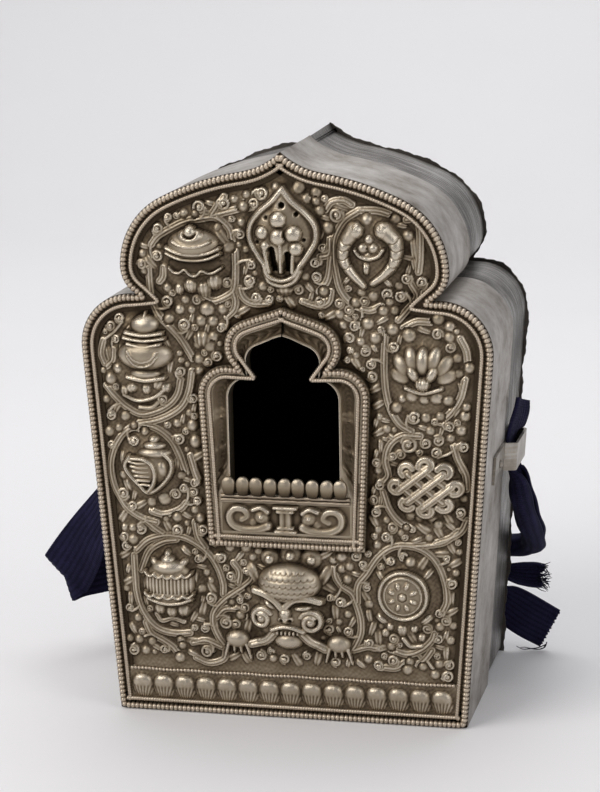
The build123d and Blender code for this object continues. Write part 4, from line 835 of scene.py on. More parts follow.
border_line = inset(case_line, 3.4)
under_frame = inset(frame_line, 1.2)
corner_in = within(border_line, plane_x, plane_z) & ~within(under_frame, plane_x, plane_z)
open_ground = (within(inset(case_line, 6.6), plane_x, plane_z)
               & ~within(inset(frame_line, -1.2), plane_x, plane_z))
# The moat sinks the ground along the border and round the frame; in the colour it also stands as painted
# shade.
moat = 1 - blurred(open_ground * 1.0, 5)
moat[:, raster_z < 16] = 0
relief = np.where(chased > 0.3, relief, relief * (1 - moat)) - 0.6 * moat
hollow = sum(weight * (blurred(relief, reach) - relief)
             for weight, reach in ((1.5, 1), (0.5, 3), (0.55, 8)))
relief = 0.6 * relief + 0.4 * blurred(relief, 1)
numbers = np.arange(relief.size).reshape(relief.shape)
cells_in = corner_in[:-1, :-1] | corner_in[1:, :-1] | corner_in[1:, 1:] | corner_in[:-1, 1:]
middle_x = (plane_x[:-1, :-1] + plane_x[1:, 1:]) / 2


def rough_by(tree, principled, value, low, high, rough_low, rough_high):
    """Roughness of the shader from a value: rough_low where it is low or less, rough_high from high on."""
    made = add_node(tree, "ShaderNodeMapRange", Value=value, in_1=low, in_2=high, in_3=rough_low,
                    in_4=rough_high)
    tree.links.new(made.outputs[0], principled.inputs["Roughness"])


worked_silver, tree, principled = shader("worked_silver", metallic=0.95)
place = object_place(tree)
recess = add_node(tree, "ShaderNodeAttribute", {"attribute_name": "recess"}).outputs["Fac"]
patch = noise(tree, place, 55.0, 4.0, 0.6)
grain = noise(tree, place, 1300.0, 3.0, 0.7)
# Darkness of the silver: the recess value, which holds tarnish and painted shade, and random tarnish patches.
tarnish_and_shade = sums(tree, "ADD", recess, sums(tree, "MULTIPLY", sums(tree, "SUBTRACT", patch, 0.5), 0.30))
colour_by(tree, principled, tarnish_and_shade, (0.10, (0.61, 0.54, 0.435)), (0.34, (0.37, 0.308, 0.225)),
          (0.52, (0.21, 0.164, 0.110)), (0.70, (0.092, 0.067, 0.042)), (0.95, (0.018, 0.012, 0.008)))
rough_by(tree, principled, tarnish_and_shade, 0.1, 0.85, 0.26, 0.62)
bump(tree, principled, grain, 0.55, 0.0003)

# Recess value of the face: tarnish and painted shade in the hollows, painted shade along the sunk band inside
# the border and round the window frame, the valance painted dark as shade under the brim, and a little
# lighter over the swells.
face_tarnish_and_shade = np.clip(0.46 + 0.42 * hollow + 0.26 * moat - 0.04 * swell + valance_shade, 0, 1)
for side, chosen in (("left", middle_x < 0), ("right", middle_x >= 0)):
    i, k = np.nonzero(cells_in & chosen)
    quads = np.stack([numbers[i, k], numbers[i + 1, k], numbers[i + 1, k + 1], numbers[i, k + 1]], 1)
    used, quads = np.unique(quads, return_inverse=True)
    points = np.stack([plane_x.ravel(), face_front - relief.ravel(), plane_z.ravel()], 1)[used]
    half_face = put_mesh(f"face_relief_{side}", points, quads.reshape(-1, 4))
    point_value(half_face, "recess", face_tarnish_and_shade.ravel()[used])
    half_face.data.materials.append(worked_silver)
    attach(half_face, "front_case")
    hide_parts("face_plate")

# Plain edge of the sheet under the border wires: inset from the outline, and depth.
wire_sink = 0.03
face_rim_line, _ = spaced(case_line, outline_count)
rim_front = face_front + wire_sink
rim_section = np.array([[0.0, face_back], [0.0, rim_front], [6.0, rim_front], [6.0, face_back]])
rim_plan = np.stack([inset(face_rim_line, depth) for depth, _ in rim_section], 1)
rim_points = in_depth(rim_plan, rim_section[:, 1])
face_rim = put_mesh("face_rim", rim_points, grid_quads(*rim_plan.shape[:2], True, True), smooth=False)
# The rim is coloured dark where it shows between the wires.
point_value(face_rim, "recess", np.full(rim_plan[:, :, 0].size, 0.8))
face_rim.data.materials.append(worked_silver)
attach(face_rim, "front_case")


# Border wires: a coarse beaded wire along the rim of the face and a finer twisted wire just inside it,
# both silver, soldered flat on the sheet. The groove between them is dark, from the dark rim of the sheet
# under them.

def eased(line, reach):
    """A closed line with its corners rounded: a smooth mean of its points over reach millimetres each way."""
    fine, length = spaced(line, int(spaced(line, 8)[1] / 0.15))
    weight = np.hanning(2 * int(reach / 0.15) + 1)
    half = len(weight) // 2
    padded = np.concatenate([fine[-half:], fine, fine[:half]])
    return np.stack([np.convolve(padded[:, k], weight / weight.sum(), "valid") for k in (0, 1)], 1)


def end_caps(rows, loop, first=0):
    """Quads that close both ends of a tube of rows, each with loop points, by joining its two sides."""
    pair = np.arange(loop // 2)
    cap = np.stack([pair[:-1], pair[1:], loop - 1 - pair[1:], loop - 1 - pair[:-1]], 1)
    return [first + cap, first + (rows - 1) * loop + cap[:, ::-1]]


def wire_strip(name, line, half_width, rise, seat, bead, form, closed=True, steps=6, around=8, bend=1.5):
    """Wire along a line, lying on depth seat. The section is half an ellipse whose size follows the
    length: beads swell as half circles, and a twist leans the same swelling by three quarters of a bead."""
    length = spaced(line, 8, closed)[1]
    if closed:
        line = eased(line, bend)
    beads = int(round(length / bead))
    path, _ = spaced(line, beads * steps + (0 if closed else 1), closed)
    along = np.arange(len(path))[:, None] / steps
    if closed:
        run = np.roll(path, -1, 0) - np.roll(path, 1, 0)
    else:
        run = np.gradient(path, axis=0)
    run /= np.hypot(run[:, 0], run[:, 1])[:, None]
    side = np.stack([-run[:, 1], run[:, 0]], 1)
    angle = np.linspace(0, np.pi, around)[None, :]
    lean = {"bead": 0.0, "twist": 0.75}[form]
    phase = ((along + lean * angle / np.pi) % 1) * 2 - 1
    deep = {"bead": 0.42, "twist": 0.30}[form]
    size = (1 - deep) + deep * np.sqrt(np.maximum(1 - phase ** 2, 0))
    across = half_width * np.cos(angle) * size
    depth = seat - rise * np.sin(angle) * size
    plan = path[:, None, :] + across[:, :, None] * side[:, None, :]
    points = in_depth(plan, depth)
    quads = grid_quads(len(path), around, closed, True)
    if not closed:
        quads = np.concatenate([quads, *end_caps(len(path), around)])
    made = put_mesh(name, points, quads)
    # The recess value is painted shade: high on the wire's flanks and in the necks between beads, low on the
    # crown of each bead.
    point_value(made, "recess", 1.25 - size - 0.25 * np.sin(angle))
    return made


wire_silver, tree, principled = shader("wire_silver", metallic=0.95)
place = object_place(tree)
recess = add_node(tree, "ShaderNodeAttribute", {"attribute_name": "recess"}).outputs["Fac"]
# The wires darken by their recess value, which is painted shade, and by random tarnish patches.
tarnish_and_shade = sums(tree, "ADD", recess,
               sums(tree, "MULTIPLY", sums(tree, "SUBTRACT", noise(tree, place, 60.0), 0.5), 0.35))
colour_by(tree, principled, tarnish_and_shade, (0.08, (0.56, 0.475, 0.375)), (0.34, (0.31, 0.25, 0.185)),
          (0.55, (0.13, 0.095, 0.066)), (0.80, (0.022, 0.014, 0.009)))
rough_by(tree, principled, tarnish_and_shade, 0.1, 0.8, 0.34, 0.65)

bead_width, bead_rise, bead_pitch = 2.5, 2.0, 1.6
twist_width, twist_rise, twist_pitch = 1.8, 1.4, 0.95
wire_gap = 0.4
bead_inset = bead_width / 2
twist_inset = bead_width + wire_gap + twist_width / 2
border_beads = wire_strip("border_beads", inset(case_line, bead_inset), bead_width / 2, bead_rise,
                          face_front + wire_sink, bead_pitch, "bead", bend=2.4)
border_twist = wire_strip("border_twist", inset(case_line, twist_inset), twist_width / 2, twist_rise,
                          face_front + wire_sink, twist_pitch, "twist", steps=5, bend=4.0)
border_wires = ((border_beads, "border_bead_wire"), (border_twist, "border_twist_wire"))
for wire, node in border_wires:
    wire.data.materials.append(wire_silver)
    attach(wire, "front_case")
    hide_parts(node)


# Window frame: a silver strip bent round the opening and soldered into the face, its ends meeting in a slit
# at the top. A hollow chased with leaf hatching and turned rings runs inside the wires, down to a thin
# bright lip.

opening_shape = dict(foot_half=19.3, shoulder=(19.31, 22), notch=(12.3, 14.9), flank=(12.8, 9),
                     corner=(9.2, 3.6), crown=(4.2, 1.4))
opening_foot, opening_height = 81.8, 55.7
opening_line = lobed_line(opening_foot, opening_height, **opening_shape)
frame_front, slit_half = -41.4, 0.3
apex = int(frame_line[:, 1].argmax())


def slit_open(line):
    """A closed line started at the top, with its two ends drawn apart by the slit."""
    line = np.roll(line, -apex, 0)
    line = np.concatenate([line, line[:1]])
    line[0, 0], line[-1, 0] = -slit_half, slit_half
    return line


outer, inner = slit_open(frame_line), slit_open(opening_line)
reach = np.hypot(*(inner - outer).T)
wire_room = np.clip(5.0 / reach, 0, 0.86)
jamb = np.clip((outer[:, 1] - 74) / 8, 0, 1) * np.clip((inner[:, 1] - 81.85) / 1.5, 0, 1)
share = np.linspace(0, 1, 15)[None, :]
hollow_depth = 2.0 * jamb[:, None] * np.sin(np.pi * np.clip(share / 0.93, 0, 1)) ** 0.8
jamb_z = inner[:, 1][:, None] + 0 * share
hatch = 0.22 * np.cos(2 * np.pi * (jamb_z + 3.2 * np.abs(share - 0.45)) / 1.35) * np.sin(np.pi * share)
jamb_rings = (84.2, 86.0, 88.4, 92.6, 94.4, 100.5, 109.5, 111.2)
turned = sum(0.9 * np.exp(-((jamb_z - ring) / 0.55) ** 2) for ring in jamb_rings)
hollow_y = frame_front + hollow_depth - jamb[:, None] * np.sin(np.pi * share) * (hatch + turned)
steps = [np.zeros_like(reach), np.zeros_like(reach), wire_room]
heights = [face_front + 0 * reach, frame_front + 0 * reach, frame_front + 0 * reach]
for column in range(1, share.shape[1]):
    steps.append(wire_room + (0.955 - wire_room) * share[0, column])
    heights.append(hollow_y[:, column])
lip_and_back = ((0.965, frame_front - 0.25), (0.99, frame_front - 0.25), (1.0, frame_front + 0.1),
                (1.0, -35.5), (0.93, -35.5), (0.90, -38.2), (0.0, -38.2))
for place_at, depth in lip_and_back:
    steps.append(np.maximum(wire_room, place_at) if 0 < place_at < 0.97 else np.full_like(reach, place_at))
    heights.append(np.full_like(reach, depth))
steps, heights = np.stack(steps, 1), np.stack(heights, 1)
plan = outer[:, None, :] + steps[:, :, None] * (inner - outer)[:, None, :]
points = in_depth(plan, heights)
count, loop = heights.shape
quads = np.concatenate([grid_quads(count, loop, False, True), *end_caps(count, loop)])
window_frame = put_mesh("window_strip", points, quads)
window_frame.data.set_sharp_from_angle(angle=0.9)
# Coloured darker the deeper the hollow runs, as tarnish and painted shade, and lighter on the lip that stands
# forward.
deep = np.clip((heights - frame_front) / 2.2, 0, 1)
point_value(window_frame, "recess", 0.32 + 0.4 * deep - 0.2 * (heights < frame_front - 0.2))
window_frame.data.materials.append(worked_silver)
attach(window_frame, "front_case")
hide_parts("window_frame")

window_beads = wire_strip("window_beads", inset(frame_line, bead_inset), bead_width / 2, bead_rise,
                          frame_front + wire_sink, 1.5, "bead")
window_twist = wire_strip("window_twist", inset(frame_line, twist_inset), twist_width / 2, twist_rise,
                          frame_front + wire_sink, 0.9, "twist", steps=5)
window_wires = ((window_beads, "window_bead_wire"), (window_twist, "window_twist_wire"))
for wire, node in window_wires:
    wire.data.materials.append(wire_silver)
    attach(wire, "front_case")
    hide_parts(node)


# Sill: nine lotus knobs stand along the foot of the opening, over two plain rails and a chased panel with
# a stepped pillar between two curled beasts. All are silver, soldered on the foot of the frame.

knob_count, knob_pitch, knob_foot, knob_height = 9, 4.95, 81.6, 6.5
knob_half, knob_deep, knob_middle = 2.46, 1.5, -42.6
around = np.linspace(0, 2 * np.pi, 28, endpoint=False)
up = np.concatenate([[0], np.linspace(0, 1, 17)])
swelling = np.where(up > 0.55, np.sqrt(np.maximum(1 - ((up - 0.55) / 0.45) ** 2, 0)),
                    0.66 + 0.34 * np.sin(np.pi / 2 * up / 0.55))
swelling[0] = 0
knob_x = knob_half * np.sign(np.cos(around)) * np.abs(np.cos(around)) ** 0.8
knob_y = knob_deep * np.sign(np.sin(around)) * np.abs(np.sin(around)) ** 0.8
flute = 1 - 0.03 * np.cos(around * 6)
knob_points, knob_quads = [], []
for number in range(knob_count):
    lean = 0.25 * np.sin(number * 2.1)
    across = swelling[:, None] * (knob_x * flute)[None, :]
    x = (number - (knob_count - 1) / 2) * knob_pitch + across + lean * up[:, None]
    y = knob_middle + swelling[:, None] * (knob_y * flute)[None, :]
    rise = knob_height * up * (1 + 0.02 * np.sin(number * 1.7))
    z = np.broadcast_to((knob_foot + rise)[:, None], x.shape)
    knob_quads.append(grid_quads(len(up), len(around), False, True, first=number * x.size))
    knob_points.append(np.stack([x, y, z], 2).reshape(-1, 3))
knobs = put_mesh("lotus_knobs", np.concatenate(knob_points), np.concatenate(knob_quads))
# Darker towards the foot of each knob, lighter towards its top.
knob_foot_darkening = np.repeat(0.78 - 0.50 * np.clip(up / 0.7, 0, 1), len(around))
point_value(knobs, "recess", np.tile(knob_foot_darkening, knob_count))
weld(knobs)
knobs.data.materials.append(worked_silver)
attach(knobs, "front_case")
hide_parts("sill_knobs")

rail_half, rail_out, rail_middle = 0.62, 0.75, -41.95
rail_along = np.linspace(-22.9, 22.9, 160)
rail_angle = np.linspace(0, 2 * np.pi, 12, endpoint=False)
rail_points, rail_quads = [], []
for number, rail_z in enumerate((79.55, 80.95)):
    waver = 0.06 * np.sin(rail_along * 0.9 + number) + 0.04 * np.sin(rail_along * 2.3)
    z = rail_z + waver[:, None] + rail_half * np.cos(rail_angle)[None, :]
    y = rail_middle + rail_out * np.sin(rail_angle)[None, :] + 0 * z
    rail_points.append(np.stack([np.broadcast_to(rail_along[:, None], z.shape), y, z], 2).reshape(-1, 3))
    first = number * z.size
    rail_quads += [grid_quads(*z.shape, False, True, first=first), *end_caps(*z.shape, first)]
rails = put_mesh("sill_rods", np.concatenate(rail_points), np.concatenate(rail_quads))
point_value(rails, "recess", np.full(2 * len(rail_along) * len(rail_angle), 0.3))
rails.data.materials.append(wire_silver)
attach(rails, "front_case")
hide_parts("sill_rails")

# The panel is chased on the same raster, cleared first.
swell[:], chased[:] = 0, 0
beast_tail = ((6.4, 70.6), (10, 69.3), (15, 69.2), (18.9, 71), (19.8, 74), (18, 76.3), (14.8, 76.2),
              (13.4, 74), (15.4, 72.6))
for half_width, bar_z, half in ((3.4, 68.7, 0.9), (2.6, 70.2, 0.7), (2.7, 75.9, 0.7), (3.8, 77.3, 0.9)):
    stroke(((-half_width, bar_z), (half_width, bar_z)), half=half, rise=2.1)
for way in (-1, 1):
    stroke(((way * 0.95, 69), (way * 0.95, 77)), half=1.45, rise=1.8)
    lump(way * 13.6, 72.8, 7.0, 3.9, 1.1, roundness=0.3)
    stroke([(way * x, z) for x, z in beast_tail], half=1.9, rise=2.2, taper=0.35, groove=0.3)
    lump(way * 8.4, 73.6, 2.9, 2.6, 2.3, turn=30 * way)
    stroke(((way * 6.2, 75.6), (way * 8.6, 77.0), (way * 11.4, 76.2)), half=1.1, rise=1.9)
    berry(way * 8.4, 74.0, 0.9, foot=1.9)
    lump(way * 11.4, 71.8, 1.6, 2.1, 1.9, turn=-40 * way, ribs=1)
i = slice(*np.searchsorted(raster_x, (-22.75, 22.75)))
k = slice(*np.searchsorted(raster_z, (67.7, 78.5)))
panel_height = np.maximum(chased[i, k], 0) + 0.15
panel_hollow = sum(weight * (blurred(panel_height, reach) - panel_height)
                   for weight, reach in ((0.6, 3), (0.5, 6)))
panel_height[[0, -1], :] = 0
panel_height[:, [0, -1]] = 0
points = np.stack([plane_x[i, k], frame_front + 0.02 - panel_height, plane_z[i, k]], 2)
panel = put_mesh("beast_panel", points, grid_quads(*panel_height.shape))
# Darker in the hollows between the forms: tarnish and painted shade.
point_value(panel, "recess", np.clip(0.46 + 0.5 * panel_hollow, 0, 1))
panel.data.materials.append(worked_silver)
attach(panel, "front_case")
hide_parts("sill_panel")


# Base line: a row of small silver beads in one strip, soldered straight across the face between the lotus
# petals and the vine.

base_half, base_height, base_count = 58.5, 15.2, 200
base_line = np.stack([np.linspace(-base_half, base_half, base_count),
                      base_height + 0.12 * np.sin(np.linspace(0, 40, base_count))], 1)
base_beads = wire_strip("base_beads", base_line, 0.75, 1.1, face_front + wire_sink, 1.3, "bead", closed=False)
base_beads.data.materials.append(wire_silver)
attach(base_beads, "front_case")
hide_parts("base_line_wire")


# Strap loops: strips of plain silver riveted flat to the side walls and bent out into a loop behind the
# wall's edge, which holds the strap. The four stop tabs inside the wall are of the same strip.

def weighted(tree, *parts):
    """Sum of values, each times its weight."""
    (value, weight), *rest = parts
    product = sums(tree, "MULTIPLY", value, weight)
    return sums(tree, "ADD", product, weighted(tree, *rest)) if rest else product


loop_silver, tree, principled = shader("loop_silver", metallic=0.92)
place = object_place(tree)
brushed = noise(tree, object_place(tree, (40, 40, 700)), 1.0, 5.0, 0.6)
cloud = noise(tree, place, 120.0)
colour_by(tree, principled, weighted(tree, (cloud, 0.6), (brushed, 0.4)), (0.3, (0.14, 0.118, 0.094)),
          (0.5, (0.30, 0.27, 0.232)), (0.7, (0.52, 0.49, 0.45)))
rough_by(tree, principled, brushed, 0.3, 0.7, 0.28, 0.48)
bump(tree, principled, brushed, 0.2, 0.0003)
for node in ("right_strap_bracket", "left_strap_bracket", "stop_tabs"):
    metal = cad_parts[node].data.materials
    metal.clear()
    metal.append(loop_silver)

rivet_radius, rivet_rise, rivet_foot = 1.57, 1.06, 0.88
rivet_x, rivet_y, rivet_z = 68.845, -9.5, 87.5
lean = np.radians(4.15)
around = np.linspace(0, 2 * np.pi, 20, endpoint=False)
cap_angle = np.concatenate([np.linspace(0, np.pi / 2, 8), [np.pi]])
rivet_points, rivet_quads = [], []
for number, way in enumerate((1, -1)):
    ring = rivet_radius * np.sin(cap_angle)[:, None]
    up = ring * np.cos(around)[None, :]
    back = ring * np.sin(around)[None, :] * way
    out = rivet_foot + rivet_rise * np.maximum(np.cos(cap_angle), 0)[:, None] + 0 * up
    x = way * (rivet_x + out * np.cos(lean) + up * np.sin(lean))
    z = rivet_z - out * np.sin(lean) + up * np.cos(lean)
    rivet_points.append(np.stack([x, rivet_y + back, z], 2).reshape(-1, 3))
    rivet_quads.append(grid_quads(*up.shape, False, True, first=number * up.size))
rivets = put_mesh("loop_rivets", np.concatenate(rivet_points), np.concatenate(rivet_quads))
weld(rivets)
rivets.data.materials.append(loop_silver)
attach(rivets, "front_case")
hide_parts("bracket_rivets")


# Rear pan: a band of duller grey sheet that slides inside the front wall. Long scratches run round it
# where it was drawn and rubbed.

pan_front, pan_rear, pan_inset, pan_sheet = -8.0, 45.0, 1.3, 0.8
pan_mouth = inset(case_line + wall_close * (rear_line - case_line), pan_inset)
pan_pair, pan_length = spaced(np.concatenate([pan_mouth, inset(rear_line, pan_inset)], 1), outline_count)
pan_along = np.linspace(0, pan_length, outline_count, endpoint=False)[:, None]
pan_deep = np.linspace(0, 1, 18)
pan_y = pan_front + pan_deep * (pan_rear - pan_front)
pan_draw = np.clip((pan_y - wall_rear) / (pan_rear - wall_rear), 0, 1)
pan_dent = -0.12 * (1 + np.sin(pan_along * 0.083 + 4 * pan_deep) * np.cos(pan_along * 0.031 - 6 * pan_deep))
pan_dent = pan_dent * np.sin(np.pi * pan_deep) ** 0.5
pan_skin = (pan_pair[:, None, :2]
            + pan_draw[None, :, None] * (pan_pair[:, None, 2:] - pan_pair[:, None, :2])
            + pan_dent[:, :, None] * (pan_pair[:, :2] - inset(pan_pair[:, :2], 1.0))[:, None, :])
slip, slip_reach, slip_from = 1.4, 9, 150


def slipped_point(line, share):
    """Sideways slip, in millimetres, of the pan's hand-bent point: full at the middle, and falling off to
    either side as e to the minus (distance / slip_reach) squared."""
    return -slip * share * np.exp(-(line[..., 0] / slip_reach) ** 2) * (line[..., 1] > slip_from)


pan_skin[..., 0] += slipped_point(pan_skin, pan_draw[None, :])
pan_wall = lobed_band("pan_band", pan_skin, pan_y, pan_sheet)
grey_sheet, tree, principled = shader("grey_sheet", metallic=0.85)
uv = add_node(tree, "ShaderNodeTexCoord").outputs["UV"]
broad = add_node(tree, "ShaderNodeMapping", Vector=uv, Scale=(24, 40, 1)).outputs[0]
narrow = add_node(tree, "ShaderNodeMapping", Vector=uv, Scale=(120, 420, 1)).outputs[0]
streak = noise(tree, broad, 1.0, 6.0, 0.7)
scratch = noise(tree, narrow, 1.0, 4.0, 0.7)
cloud = noise(tree, object_place(tree), 38.0, 5.0, 0.6)
mixed = weighted(tree, (streak, 0.45), (scratch, 0.22), (cloud, 0.33))
colour_by(tree, principled, mixed, (0.38, (0.035, 0.03, 0.026)), (0.46, (0.10, 0.092, 0.083)),
          (0.53, (0.23, 0.218, 0.203)), (0.63, (0.45, 0.44, 0.42)))
rough_by(tree, principled, mixed, 0.35, 0.65, 0.58, 0.34)
bump(tree, principled, scratch, 0.2, 0.0003)
pan_wall.data.materials.append(grey_sheet)
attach(pan_wall, "rear_pan")
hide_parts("pan_wall")


# Back plate: dark metal cut to the outline by hand with shears and soldered on the pan's rear edge, which
# it overhangs unevenly.

plate_count, plate_front, plate_rear = 520, 45.0, 46.0
plate_line, plate_length = spaced(rear_line, plate_count)
plate_line[:, 0] += slipped_point(plate_line, 1.0)
plate_along = np.linspace(0, plate_length, plate_count, endpoint=False)
ragged = (0.35 * np.sin(plate_along * 0.21) + 0.25 * np.sin(plate_along * 0.53 + 1.1)
          + 0.15 * np.sin(plate_along * 1.7))
ragged = (ragged - 0.35) * (plate_line[:, 1] > 2)
plate_edge = plate_line + (plate_line - inset(plate_line, 1.0)) * ragged[:, None]
spine = np.stack([0 * plate_along, np.clip(plate_line[:, 1], 24, 178)], 1)
inward = np.array([0.0, 0.012, 0.1, 0.28, 0.5, 0.75, 1.0])
rear = plate_edge[:, None, :] + inward[None, :, None] * (spine - plate_edge)[:, None, :]
plan = np.concatenate([rear[:, ::-1], rear], 1)
bulge = 0.25 * np.sin(plan[:, :, 0] * 0.05) * np.sin(plan[:, :, 1] * 0.04)
bulge[:, :len(inward)] = 0
y = np.concatenate([np.full(len(inward), plate_front), plate_rear - 0.12 * (inward == 0)]) - np.abs(bulge)
points = in_depth(plan, y)
back_plate = put_mesh("back_sheet", points, grid_quads(plate_count, 2 * len(inward), True, False)[:, ::-1])
weld(back_plate)
back_plate.data.set_sharp_from_angle(angle=0.7)
dark_plate, tree, principled = shader("dark_plate", metallic=0.7)
place = object_place(tree)
cloud = noise(tree, place, 28.0, 6.0, 0.65)
scratch = noise(tree, object_place(tree, (220, 220, 14)), 1.0, 4.0, 0.7)
mixed = weighted(tree, (cloud, 0.85), (scratch, 0.15))
colour_by(tree, principled, mixed, (0.34, (0.026, 0.022, 0.019)), (0.5, (0.07, 0.061, 0.053)),
          (0.66, (0.15, 0.135, 0.12)))
rough_by(tree, principled, mixed, 0.3, 0.7, 0.7, 0.42)
bump(tree, principled, mixed, 0.4, 0.0005)
back_plate.data.materials.append(dark_plate)
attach(back_plate, "rear_pan")
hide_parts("back_plate")


# Lining: a tray of black cloth glued inside the pan, from its front edge to the back plate. The window shows
# it as plain black.

black_cloth, tree, principled = shader("black_cloth", roughness=0.95, Specular_IOR_Level=0.1)
weave = add_node(tree, "ShaderNodeTexWave", {"bands_direction": "X"}, Vector=object_place(tree), Scale=420.0,
                 Distortion=1.5).outputs["Fac"]
colour_by(tree, principled, weave, (0.0, (0.0008, 0.0008, 0.0008)), (1.0, (0.003, 0.003, 0.003)))
bump(tree, principled, weave, 0.3, 0.0003)
lining_front, lining_rear, lining_thick, lining_inset = -8.0, 44.9, 0.8, 2.2
cloth_outer, cloth_inner = inset(rear_line, lining_inset), inset(rear_line, lining_inset + lining_thick)
cloth_spine = np.stack([0 * rear_line[:, 0], np.clip(rear_line[:, 1], 24, 176)], 1)
floor_share = np.array([1.0, 0.7, 0.35])[None, :, None]
outer_floor = cloth_outer[:, None] + floor_share * (cloth_spine - cloth_outer)[:, None]
inner_floor = cloth_inner[:, None] + floor_share[:, ::-1] * (cloth_spine - cloth_inner)[:, None]
cloth_plan = np.concatenate([outer_floor, np.repeat(cloth_outer[:, None], 6, 1),
                             np.repeat(cloth_inner[:, None], 6, 1), inner_floor], 1)
lining_floor = lining_rear - lining_thick
cloth_y = np.concatenate([np.full(3, lining_rear), np.linspace(lining_rear, lining_front, 6),
                          np.linspace(lining_front, lining_floor, 6), np.full(3, lining_floor)])
lining = put_mesh("lining_cloth", in_depth(cloth_plan, cloth_y),
                  grid_quads(*cloth_plan.shape[:2], True, False))
weld(lining)
lining.data.materials.append(black_cloth)
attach(lining, "rear_pan")
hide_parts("lining")


# Strap: one band of navy corduroy, 20 mm wide, through both loops. On the right it is bunched and knotted
# behind the plate, with one frayed and one cut tail. On the left it falls to a fold and comes back round.

strap_thick, strap_ribs, strap_step, rib_rise = 1.5, 9, 0.8, 0.26


def smooth_path(points, count):
    """Catmull-Rom curve through points of any dimension, then count points at equal steps of length."""
    points = np.asarray(points, float)
    ends = np.concatenate([[2 * points[0] - points[1]], points, [2 * points[-1] - points[-2]]])
    t = np.linspace(0, 1, 16, endpoint=False)[:, None]
    curve = [curve_piece(*near, t) for near in zip(ends, ends[1:], ends[2:], ends[3:])]
    curve = np.concatenate(curve + [points[-1:]])
    travelled = np.concatenate([[0], np.cumsum(np.linalg.norm(np.diff(curve[:, :3], axis=0), axis=1))])
    at = np.linspace(0, travelled[-1], count)
    evenly = np.stack([np.interp(at, travelled, curve[:, n]) for n in range(points.shape[1])], 1)
    return evenly, travelled[-1]


def ribbed_band(name, stations, ragged=0.0):
    """Corduroy band carried along stations of (x, y, z, width way x, y, z, width, roll). Across the band the
    section is a straight line at roll 0 and most of a circle at roll 1, so the cloth keeps its width; both
    faces swell in rounded ribs, and the ends are closed."""
    _, length = smooth_path(stations, 8)
    count = max(8, int(length / strap_step))
    path, _ = smooth_path(stations, count)
    middle, way, width, roll = path[:, :3], path[:, 3:6], path[:, 6:7], np.clip(path[:, 7:8], 0, 1)
    run = np.gradient(middle, axis=0)
    run /= np.linalg.norm(run, axis=1)[:, None]
    way = way - (way * run).sum(1)[:, None] * run
    way /= np.linalg.norm(way, axis=1)[:, None]
    normal = np.cross(run, way)
    q = np.linspace(-1, 1, strap_ribs * 7 + 1)[None, :]
    turn = np.pi * 0.94 * q
    radius = width / (2 * np.pi * 0.94)
    along = np.linspace(0, length, count)[:, None]
    crease = roll * 0.5 * np.sin(7.0 * q + 0.11 * along) * np.sin(0.21 * along + 2 * q)
    a = (1 - roll) * width / 2 * q + roll * (radius + crease) * np.sin(turn)
    b = -roll * (radius + crease) * np.cos(turn) + (1 - roll) * 0.25 * np.sin(0.35 * along) * (1 - q * q)
    da, db = np.gradient(a, axis=1), np.gradient(b, axis=1)
    size = np.maximum(np.hypot(da, db), 1e-6)
    rib = rib_rise * np.abs(np.cos(np.pi * strap_ribs * (q + 1) / 2)) ** 0.7
    edge = np.sqrt(np.maximum(1 - np.abs(q) ** 40, 0.02))
    skins = []
    for face in (1, -1):
        lift = face * (strap_thick / 2 - rib_rise + rib) * edge
        u, v = a - lift * db / size, b + lift * da / size
        skins.append(middle[:, None, :] + u[:, :, None] * way[:, None, :]
                     + v[:, :, None] * normal[:, None, :])
    points = np.concatenate([skins[0], skins[1][:, ::-1]], 1)
    if ragged:
        tooth = ragged * (np.sin(q * 61) + np.sin(q * 37 + 1))[0]
        points[-1] += np.concatenate([tooth, tooth[::-1]])[:, None] * run[-1]
    loop = points.shape[1]
    quads = [grid_quads(count, loop, False, True), *end_caps(count, loop)]
    made = put_mesh(name, points, np.concatenate(quads)[:, ::-1])
    across = np.concatenate([q[0], q[0][::-1]])
    uv_layer(made, np.repeat(along[:, 0] / 20, loop), np.tile((across + 1) / 2, count))
    # Rib value for the colour: high on the crests, which the cloth's colour lightens as a painted highlight.
    rib_row = np.concatenate([rib[0], rib[0][::-1]])
    point_value(made, "rib", np.tile(rib_row / rib_rise, count))
    return made, length


navy_cord, tree, principled = shader("navy_cord", roughness=0.9, Specular_IOR_Level=0.12, Sheen_Weight=0.05,
                                     Sheen_Roughness=0.45, Sheen_Tint=(0.45, 0.47, 0.62, 1.0))
uv = add_node(tree, "ShaderNodeTexCoord").outputs["UV"]
rib = add_node(tree, "ShaderNodeAttribute", {"attribute_name": "rib"}).outputs["Fac"]
place = object_place(tree)
worn = noise(tree, place, 160.0, 5.0, 0.65)
pile = noise(tree, place, 1600.0, 2.0, 0.7)
weave = add_node(tree, "ShaderNodeTexWave", {"bands_direction": "X"}, Vector=uv, Scale=7.0,
                 Distortion=0.6).outputs["Fac"]
# The rib value lightens the crests of the ribs in the cloth's colour: a painted highlight.
mixed = weighted(tree, (rib, 0.25), (worn, 0.6), (pile, 0.25))
colour_by(tree, principled, mixed, (0.25, (0.0028, 0.0025, 0.0075)), (0.55, (0.008, 0.0075, 0.024)),
          (0.80, (0.017, 0.0155, 0.046)), (1.0, (0.05, 0.047, 0.085)))
bump(tree, principled, sums(tree, "ADD", pile, sums(tree, "MULTIPLY", weave, 0.5)), 0.5, 0.0004)

loop_lie = 1.35
wall_lean = 9.5 / 131


def beside_wall(way, y, z, away=loop_lie):
    """Point at a height on the outside of the side wall, away from it by a distance."""
    return (way * (62.5 + wall_lean * z + away), y, z)


